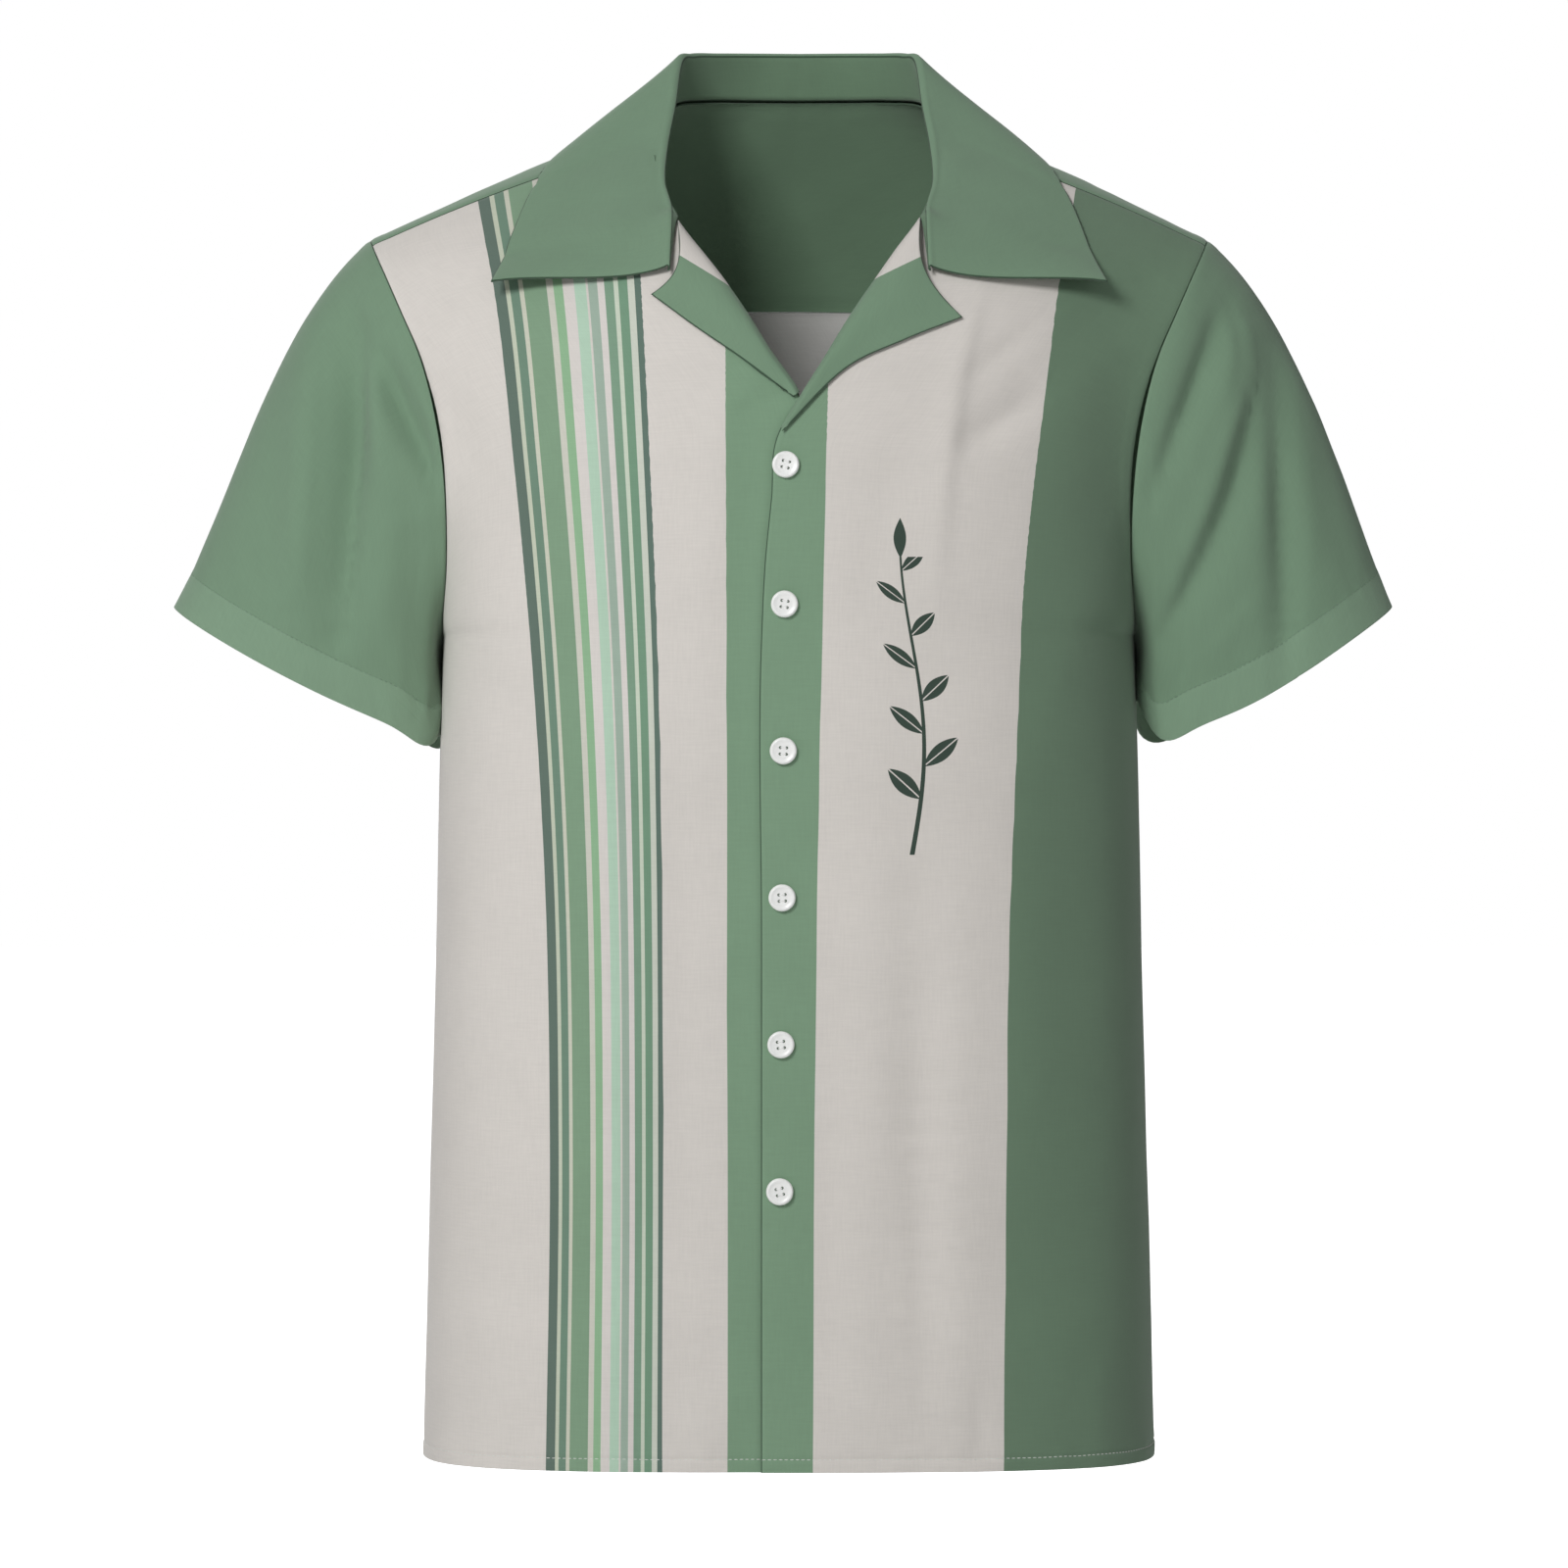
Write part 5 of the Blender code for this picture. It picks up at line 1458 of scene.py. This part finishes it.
def depth_by_edge(side, x, z, edge_x):
    """y of a front's face at x, carried on past its edge, where there is no cloth to hit."""
    inside = side * (x - edge_x)
    if inside >= EDGE_CLEAR:
        return body_depth(x, z)
    near = body_depth(edge_x + side * EDGE_CLEAR, z)
    far = body_depth(edge_x + side * 2 * EDGE_CLEAR, z)
    return near - (far - near) * (EDGE_CLEAR - inside) / EDGE_CLEAR


def lapel_form(side, wrap, u, v):
    """A lapel; wrap is 1 inside the neck and 0 at the roll, and u then runs to its edge."""
    shape = through(LAPEL_EDGE[side], v)
    line = through(FRONT_EDGE, shape[..., 0])
    roll_x, roll_z = line[..., 0 if side > 0 else 1], shape[..., 0]
    notch_x, notch_z = LAPEL_NOTCH[side]
    step_in = np.sin(np.pi * u) * np.clip(1 - v / 0.3, 0, 1)**2
    width = np.hypot(shape[..., 1] - roll_x, shape[..., 2] - roll_z)
    x = roll_x + (shape[..., 1] - roll_x) * u - side * notch_x * step_in
    z = roll_z + (shape[..., 2] - roll_z) * u + notch_z * step_in
    turn = np.clip(u * width / LAPEL_LAY, 0, 1) * np.pi / 2
    puff = LAPEL_PUFF * np.minimum(1, width / LAPEL_FULL_WIDTH)
    height = LAPEL_LAY * np.sin(turn) + puff * np.sin(np.pi * u**0.55)**1.5
    wrapped = wrap * np.pi / 2
    x = x + side * LAPEL_WRAP * (1 - np.cos(wrapped))
    height = height - LAPEL_WRAP * np.sin(wrapped)
    edge_x = through(FRONT_EDGE, z)[..., 0 if side > 0 else 1]
    depth = np.array([depth_by_edge(side, *spot) for spot in
                      zip(x.ravel(), z.ravel(), edge_x.ravel())])
    return points(x, depth.reshape(x.shape) - height, z)


def lapel_piece(side, name):
    """One lapel, from inside the neck to its free edge."""
    high = LAPEL_LONG[side]
    turned_in = np.linspace(1, 0, 7)[:-1]
    out = spaced(LAPEL_WIDE, CELL, SEAM_LINES[:6], SEAM_LINES[:6]) / LAPEL_WIDE
    wrap = np.concatenate([turned_in, np.zeros_like(out)])
    out = np.concatenate([np.zeros_like(turned_in), out])
    v = spaced(high, CELL, SEAM_LINES[:6], SEAM_LINES[:5]) / high
    u, v = np.meshgrid(out, v, indexing="ij")
    places = lapel_form(side, np.broadcast_to(wrap[:, None], u.shape), u, v)
    first = len(turned_in) + 4
    places[first:] = smoothed(places[first:], 3)
    normal = outward(places) * -side
    flat = points(lengths(places, 0), lengths(places, 1), 0)[..., :2]
    to_free = flat[-1:, :, 0] - flat[..., 0]
    round_edge = np.minimum(to_free, flat[..., 1])
    relief = (-0.4 * np.exp(-(round_edge / 0.8)**2)
              + 0.22 * bumps(flat[..., 0], flat[..., 1], 24.0, 97 + side)
              * fade(round_edge, 2, 10) * fade(flat[..., 1], 4, 20))
    places = places + normal * relief[..., None]
    x0, z0, x1, z1 = LAPEL_PALE[side]
    length = np.hypot(x1 - x0, z1 - z0)
    above = ((x1 - x0) * (places[..., 2] - z0) - (z1 - z0) * (places[..., 0] - x0)) / length
    # Cloth turned in inside the neck gets a "seam" of 0 and takes the dark green all over:
    # painted shade for the hidden side of the roll.
    inside = np.broadcast_to(wrap[:, None] > 0.35, u.shape)
    seam = np.minimum(round_edge * EDGE_LINE, np.where(inside, 0.0, NO_SEAM))
    layers = {"seam": seam, "print": np.clip(1 - side * above / 20, 0.02, 1.98)}
    mesh = grid_mesh(name, places, flat, layers, flip=side > 0)
    print(f"  {name}: {flat[..., 0].max():.0f} x {flat[..., 1].max():.0f} mm")
    return cloth_piece(name, f"lapel_{'left' if side > 0 else 'right'}", mesh,
                       lapel_cotton, sage_reverse_painted_shade)


# The pale corner lies where "print" is above 1, beyond the line in LAPEL_PALE.
lapel_cotton = cotton("printed woven cotton, sage green facing with a pale corner",
                      stepped([(0, SAGE), (1, OATMEAL)], 2))
lapel_piece(1, "left_lapel")
lapel_piece(-1, "right_lapel")

# %% [markdown]
# ## The buttons
#
# Six white four-hole buttons of moulded resin, 14.6 mm across. A button is a turned
# shape, so its profile is spun: flat below, a rounded rim, and a dish for the thread. The
# holes are drilled with a Boolean, and two bars of thread cross the dish between them.

# %% One button, turned and drilled
BUTTON_DIAMETER, BUTTON_THICK, BUTTON_DISH = 14.6, 2.6, 0.6
BUTTON_COUNT = 6
BUTTON_FIRST_Z, BUTTON_FIRST_PITCH, BUTTON_PITCH = -186.6, 75.0, 78.7
BUTTON_TOP_X, BUTTON_BOTTOM_X = -1.8, -5.0
BUTTON_HOLE, BUTTON_HOLE_SPREAD = 1.6, 3.4


def button_blank():
    """A drilled button facing +Z, as a mesh in metres."""
    radius = BUTTON_DIAMETER / 2
    profile = (
        # distance from the middle, height
        (0.0, 0.0),
        (radius - 1.6, 0.0),
        (radius - 0.5, 0.35),
        (radius, 1.15),
        (radius - 0.12, 1.75),
        (radius - 0.5, BUTTON_THICK - 0.25),
        (radius - 1.0, BUTTON_THICK - 0.03),
        (radius - 1.4, BUTTON_THICK - 0.03),
        (radius - 1.9, BUTTON_THICK - 0.20),
        (radius - 2.5, BUTTON_THICK - 0.45),
        (radius - 3.2, BUTTON_THICK - BUTTON_DISH + 0.03),
        (0.0, BUTTON_THICK - BUTTON_DISH),
    )
    turned = bmesh.new()
    ring = [turned.verts.new((out * MM, 0, height * MM)) for out, height in profile]
    edges = [turned.edges.new(pair) for pair in zip(ring, ring[1:])]
    bmesh.ops.spin(turned, geom=ring + edges, cent=(0, 0, 0), axis=(0, 0, 1),
                   angle=2 * np.pi, steps=64, use_merge=True)
    bmesh.ops.remove_doubles(turned, verts=turned.verts, dist=1e-6)
    bmesh.ops.recalc_face_normals(turned, faces=turned.faces)
    drill = bmesh.new()
    reach = BUTTON_HOLE_SPREAD / 2
    for x, y in ((reach, reach), (-reach, reach), (-reach, -reach), (reach, -reach)):
        bmesh.ops.create_cone(drill, cap_ends=True, segments=20, radius1=BUTTON_HOLE / 2 * MM,
                              radius2=BUTTON_HOLE / 2 * MM, depth=4 * BUTTON_THICK * MM,
                              matrix=Matrix.Translation((x * MM, y * MM, 0)))
    blank = placed("button blank", meshed("button blank", turned))
    cutter = placed("drill", meshed("drill", drill))
    holes = blank.modifiers.new("holes", "BOOLEAN")
    holes.operation, holes.object = "DIFFERENCE", cutter
    finished = bpy.data.meshes.new_from_object(
        blank.evaluated_get(bpy.context.evaluated_depsgraph_get()))
    for thing in (blank, cutter):
        bpy.data.objects.remove(thing, do_unlink=True)
    return finished


blank = button_blank()
print("faces of a drilled button:", len(blank.polygons))

# %% [markdown]
# Polyester resin, cast and tumbled until it shines softly. It is nearly white, with a
# faint cloud in it, and its IOR is about 1.55. The thread is polyester too, but matt.

# %% Button and thread finishes
resin, tree = blank_finish("cast white polyester resin")
spot = add(tree, "ShaderNodeTexCoord").outputs["Object"]
cloud = add(tree, "ShaderNodeTexNoise",
            sockets={"Vector": spot, "Scale": 320.0, "Detail": 2.0})
tint = add(tree, "ShaderNodeMix", {"data_type": "RGBA"}, {
    0: cloud.outputs["Fac"], 6: linear("#fdfdfb"), 7: linear("#f6f8f6")})
tumbled = add(tree, "ShaderNodeTexNoise", sockets={"Vector": spot, "Scale": 1400.0})
gloss = add(tree, "ShaderNodeMapRange", sockets={"Value": tumbled.outputs["Fac"],
                                                 "To Min": 0.26, "To Max": 0.40})
pits = add(tree, "ShaderNodeBump", sockets={"Height": tumbled.outputs["Fac"],
                                            "Strength": 0.05, "Distance": 0.0001})
surface = add(tree, "ShaderNodeBsdfPrincipled", sockets={
    "Base Color": tint.outputs[2], "Roughness": gloss.outputs[0], "IOR": 1.55,
    "Coat Weight": 0.15, "Coat Roughness": 0.25, "Normal": pits.outputs[0]})
add(tree, "ShaderNodeOutputMaterial", sockets={"Surface": surface.outputs[0]})

thread, tree = blank_finish("twisted polyester thread, white")
spot = add(tree, "ShaderNodeTexCoord").outputs["Object"]
twist = add(tree, "ShaderNodeTexWave", {"bands_direction": "DIAGONAL"},
            {"Vector": spot, "Scale": 900.0, "Distortion": 0.6})
dye = add(tree, "ShaderNodeMix", {"data_type": "RGBA"}, {
    0: twist.outputs["Fac"], 6: linear("#d6d8d4"), 7: linear("#f1f2ee")})
plies = add(tree, "ShaderNodeBump", sockets={"Height": twist.outputs["Fac"], "Strength": 0.4,
                                             "Distance": 0.0001})
surface = add(tree, "ShaderNodeBsdfPrincipled", sockets={
    "Base Color": dye.outputs[2], "Roughness": 0.62, "Sheen Weight": 0.2,
    "Normal": plies.outputs[0]})
add(tree, "ShaderNodeOutputMaterial", sockets={"Surface": surface.outputs[0]})
print("button finishes:", resin.name, "/", thread.name)

# %% [markdown]
# The buttons stand in a row down the overlap. A sewn button rests flat on its cloth, so each
# one asks the cloth behind its rim how it leans, takes that tilt, and stands just clear of
# its highest place. Each is also turned a little differently, as hand-fed buttons are.

# %% Sew on six buttons
BUTTON_TURN = 0.09      # radians from one button to the next
BAR_RADIUS, BAR_APART = 0.24, 0.32      # mm: half a bar's thickness, and between the two
BAR_PAST = 0.2          # mm that a bar goes on past the middle of each hole


def thread_bar(build, start, end, radius):
    """A bar of thread between two holes: a squashed ball, longer than it is thick."""
    start, end = Vector(start), Vector(end)
    way = (end - start).to_track_quat("X", "Z").to_matrix().to_4x4()
    size = Matrix.Diagonal(((end - start).length / 2, radius, radius, 1))
    bmesh.ops.create_uvsphere(build, u_segments=12, v_segments=8, radius=1.0,
                              matrix=Matrix.Translation((start + end) / 2) @ way @ size)


reach = BUTTON_DIAMETER / 2 - 1         # just inside the rim
for count in range(BUTTON_COUNT):
    share = count / (BUTTON_COUNT - 1)
    x = BUTTON_TOP_X + (BUTTON_BOTTOM_X - BUTTON_TOP_X) * share
    z = BUTTON_FIRST_Z - (BUTTON_FIRST_PITCH + BUTTON_PITCH * (count - 1) if count else 0)
    above, below, middle, right, left = (
        body_depth(x + side * reach, z + up * reach)
        for side, up in ((0, 1), (0, -1), (0, 0), (1, 0), (-1, 0)))
    proud = max(0, (above + below) / 2 - middle, (right + left) / 2 - middle)
    place = (Matrix.Translation(Vector((x, (above + below + right + left) / 4 - proud
                                        - SEAM_GAP, z)) * MM)
             @ Matrix.Rotation(np.arctan2(right - left, 2 * reach), 4, "Z")
             @ Matrix.Rotation(np.pi / 2 - np.arctan2(above - below, 2 * reach), 4, "X")
             @ Matrix.Rotation(BUTTON_TURN * (count - 2.5), 4, "Z"))
    build = bmesh.new()
    build.from_mesh(blank)
    resin_faces = len(build.faces)
    hole, top = BUTTON_HOLE_SPREAD / 2 * MM, (BUTTON_THICK - BUTTON_DISH) * MM
    for y in (-hole, hole):
        for strand in (-BAR_APART / 2, BAR_APART / 2):
            thread_bar(build, (-hole - BAR_PAST * MM, y + strand * MM, top),
                       (hole + BAR_PAST * MM, y + strand * MM, top), BAR_RADIUS * MM)
    build.faces.ensure_lookup_table()
    for face in build.faces[resin_faces:]:
        face.material_index = 1
    bmesh.ops.transform(build, matrix=place, verts=build.verts)
    mesh = meshed(f"shirt_button_{count + 1}", build)
    mesh.materials.clear()
    mesh.materials.append(resin)
    mesh.materials.append(thread)
    mesh.shade_smooth()
    mesh.set_sharp_from_angle(angle=np.radians(35))
    button = placed(f"shirt_button_{count + 1}", mesh)
    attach(button, "root")
    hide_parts(f"button_{count + 1}")
    made_pieces[button.name] = button
print("buttons:", BUTTON_COUNT)

# %% [markdown]
# ## Stitches
#
# A lockstitch shows as a row of short dashes, each sunk at its ends. There are hundreds,
# so each is a small squashed ball of a few dozen faces, laid on the cloth along the hem
# lines. They follow the piece they are sewn to, so they are placed from its own mesh.

# %% Sew the hems
STITCH_PITCH, STITCH_LENGTH, STITCH_RADIUS = 3.0, 2.2, 0.27


def sew(name, host, line, finish, slack=0.04):
    """Stitches along a line of places on host, as one piece that goes with it."""
    host_mesh = bmesh.new()
    host_mesh.from_mesh(made_pieces[host].data)
    host_tree = BVHTree.FromBMesh(host_mesh)
    host_mesh.free()
    run = lengths(line, 0)
    starts = np.arange(STITCH_PITCH / 2, run[-1] - STITCH_PITCH / 2, STITCH_PITCH)
    build = bmesh.new()
    for start in starts:
        ends = []
        for along in (start - STITCH_LENGTH / 2, start + STITCH_LENGTH / 2):
            at = Vector([np.interp(along, run, line[:, axis]) for axis in range(3)]) * MM
            near, facing, _, _ = host_tree.find_nearest(at)
            ends.append((near + facing * slack * MM, facing))
        (a, facing), (b, _) = ends
        along = (b - a).normalized()
        side = facing.cross(along).normalized()
        up = along.cross(side)
        turn = Matrix((along, side, up)).transposed().to_4x4()
        size = Matrix.Diagonal((STITCH_LENGTH / 2 * MM, STITCH_RADIUS * MM,
                                STITCH_RADIUS * 0.8 * MM, 1))
        bmesh.ops.create_uvsphere(build, u_segments=6, v_segments=4, radius=1.0,
                                  matrix=Matrix.Translation((a + b) / 2) @ turn @ size)
    mesh = meshed(name, build)
    mesh.shade_smooth()
    mesh.materials.append(finish)
    row_piece = placed(name, mesh)
    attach(row_piece, "root")
    made_pieces[name] = row_piece
    print(f"{name}: {len(starts)} stitches")
    return row_piece


def row_at(surface, up, span=(0.0, 1.0), from_top=False):
    """Places along a surface at a distance up from its hem."""
    u = np.linspace(*span, 400)
    fine = np.linspace(0.0, 0.3, 60)
    fine = 1 - fine if from_top else fine
    a, b = np.meshgrid(u, fine, indexing="ij")
    run = lengths(surface(a, b), 1)
    v = np.array([np.interp(up, row_run, fine) for row_run in run])
    return surface(u, v)


def sewing_thread(name, colour):
    """Matt twisted thread in a dye that matches its cloth."""
    finish, tree = blank_finish(name)
    spot = add(tree, "ShaderNodeTexCoord").outputs["Object"]
    twist = add(tree, "ShaderNodeTexNoise", sockets={"Vector": spot, "Scale": 1500.0})
    shade = add(tree, "ShaderNodeMix", {"data_type": "RGBA", "blend_type": "MULTIPLY"}, {
        0: twist.outputs["Fac"], 6: linear(colour), 7: (0.72, 0.72, 0.72, 1)})
    surface = add(tree, "ShaderNodeBsdfPrincipled", sockets={
        "Base Color": shade.outputs[2], "Roughness": 0.7, "Sheen Weight": 0.2})
    add(tree, "ShaderNodeOutputMaterial", sockets={"Surface": surface.outputs[0]})
    return finish


pale_thread = sewing_thread("twisted polyester thread, off-white", "#eceee9")
green_thread = sewing_thread("twisted polyester thread, sage", "#7d9a82")
for side, name in ((1, "left"), (-1, "right")):
    sew(f"{name}_front_stitches", f"{name}_front",
        row_at(lambda u, v: front(side, u, v, ROLL_SHORT), HEM_WIDTH), pale_thread)
sew("back_stitches", "back_panel", row_at(back, HEM_WIDTH, (-1.0, 1.0)), pale_thread)
for side, name in ((1, "left"), (-1, "right")):
    sew(f"{name}_sleeve_stitches", f"{name}_sleeve",
        row_at(lambda u, v: sleeve(side, u, v), CUFF_WIDTH, from_top=True), green_thread)

# %% [markdown]
# ## The cloth's flat cuts
#
# Each cloth piece says the size of its flat cut, how it is held, and what it hangs from.
# Below, the area of each finished piece is printed beside that of its cut, which shows
# cloth that was stretched or shrunk on its way onto the body.

# %% Flat cuts
CUTS = (
    # piece, flat width, flat length, share of that rectangle, held, hangs from, goes with it
    ("left_front", 0.275, 0.750, 0.86, "hung", ("yoke_panel",), ("left_front_stitches",)),
    ("right_front", 0.275, 0.750, 0.86, "hung", ("yoke_panel",), ("right_front_stitches",)),
    ("back_panel", 0.540, 0.650, 0.93, "hung", ("yoke_panel",), ("back_stitches",)),
    ("yoke_panel", 0.460, 0.200, 0.70, "draped", ("back_panel",), ()),
    ("left_sleeve", 0.460, 0.235, 0.62, "hung", ("left_front", "yoke_panel"),
     ("left_sleeve_stitches",)),
    ("right_sleeve", 0.460, 0.240, 0.62, "hung", ("right_front", "yoke_panel"),
     ("right_sleeve_stitches",)),
    ("camp_collar", 0.600, 0.120, 0.66, "folded", ("yoke_panel",), ()),
    ("left_lapel", 0.062, 0.145, 0.45, "folded", ("left_front",), ()),
    ("right_lapel", 0.050, 0.125, 0.45, "folded", ("right_front",), ()),
)
for name, width, length, share, held, rests_on, goes_with in CUTS:
    sewn_area = sum(face.area for face in made_pieces[name].data.polygons)
    print(f"{name}: cut {width * length * share:.4f}, as sewn {sewn_area:.4f} square metres")
print("cuts declared:", len(CUTS))
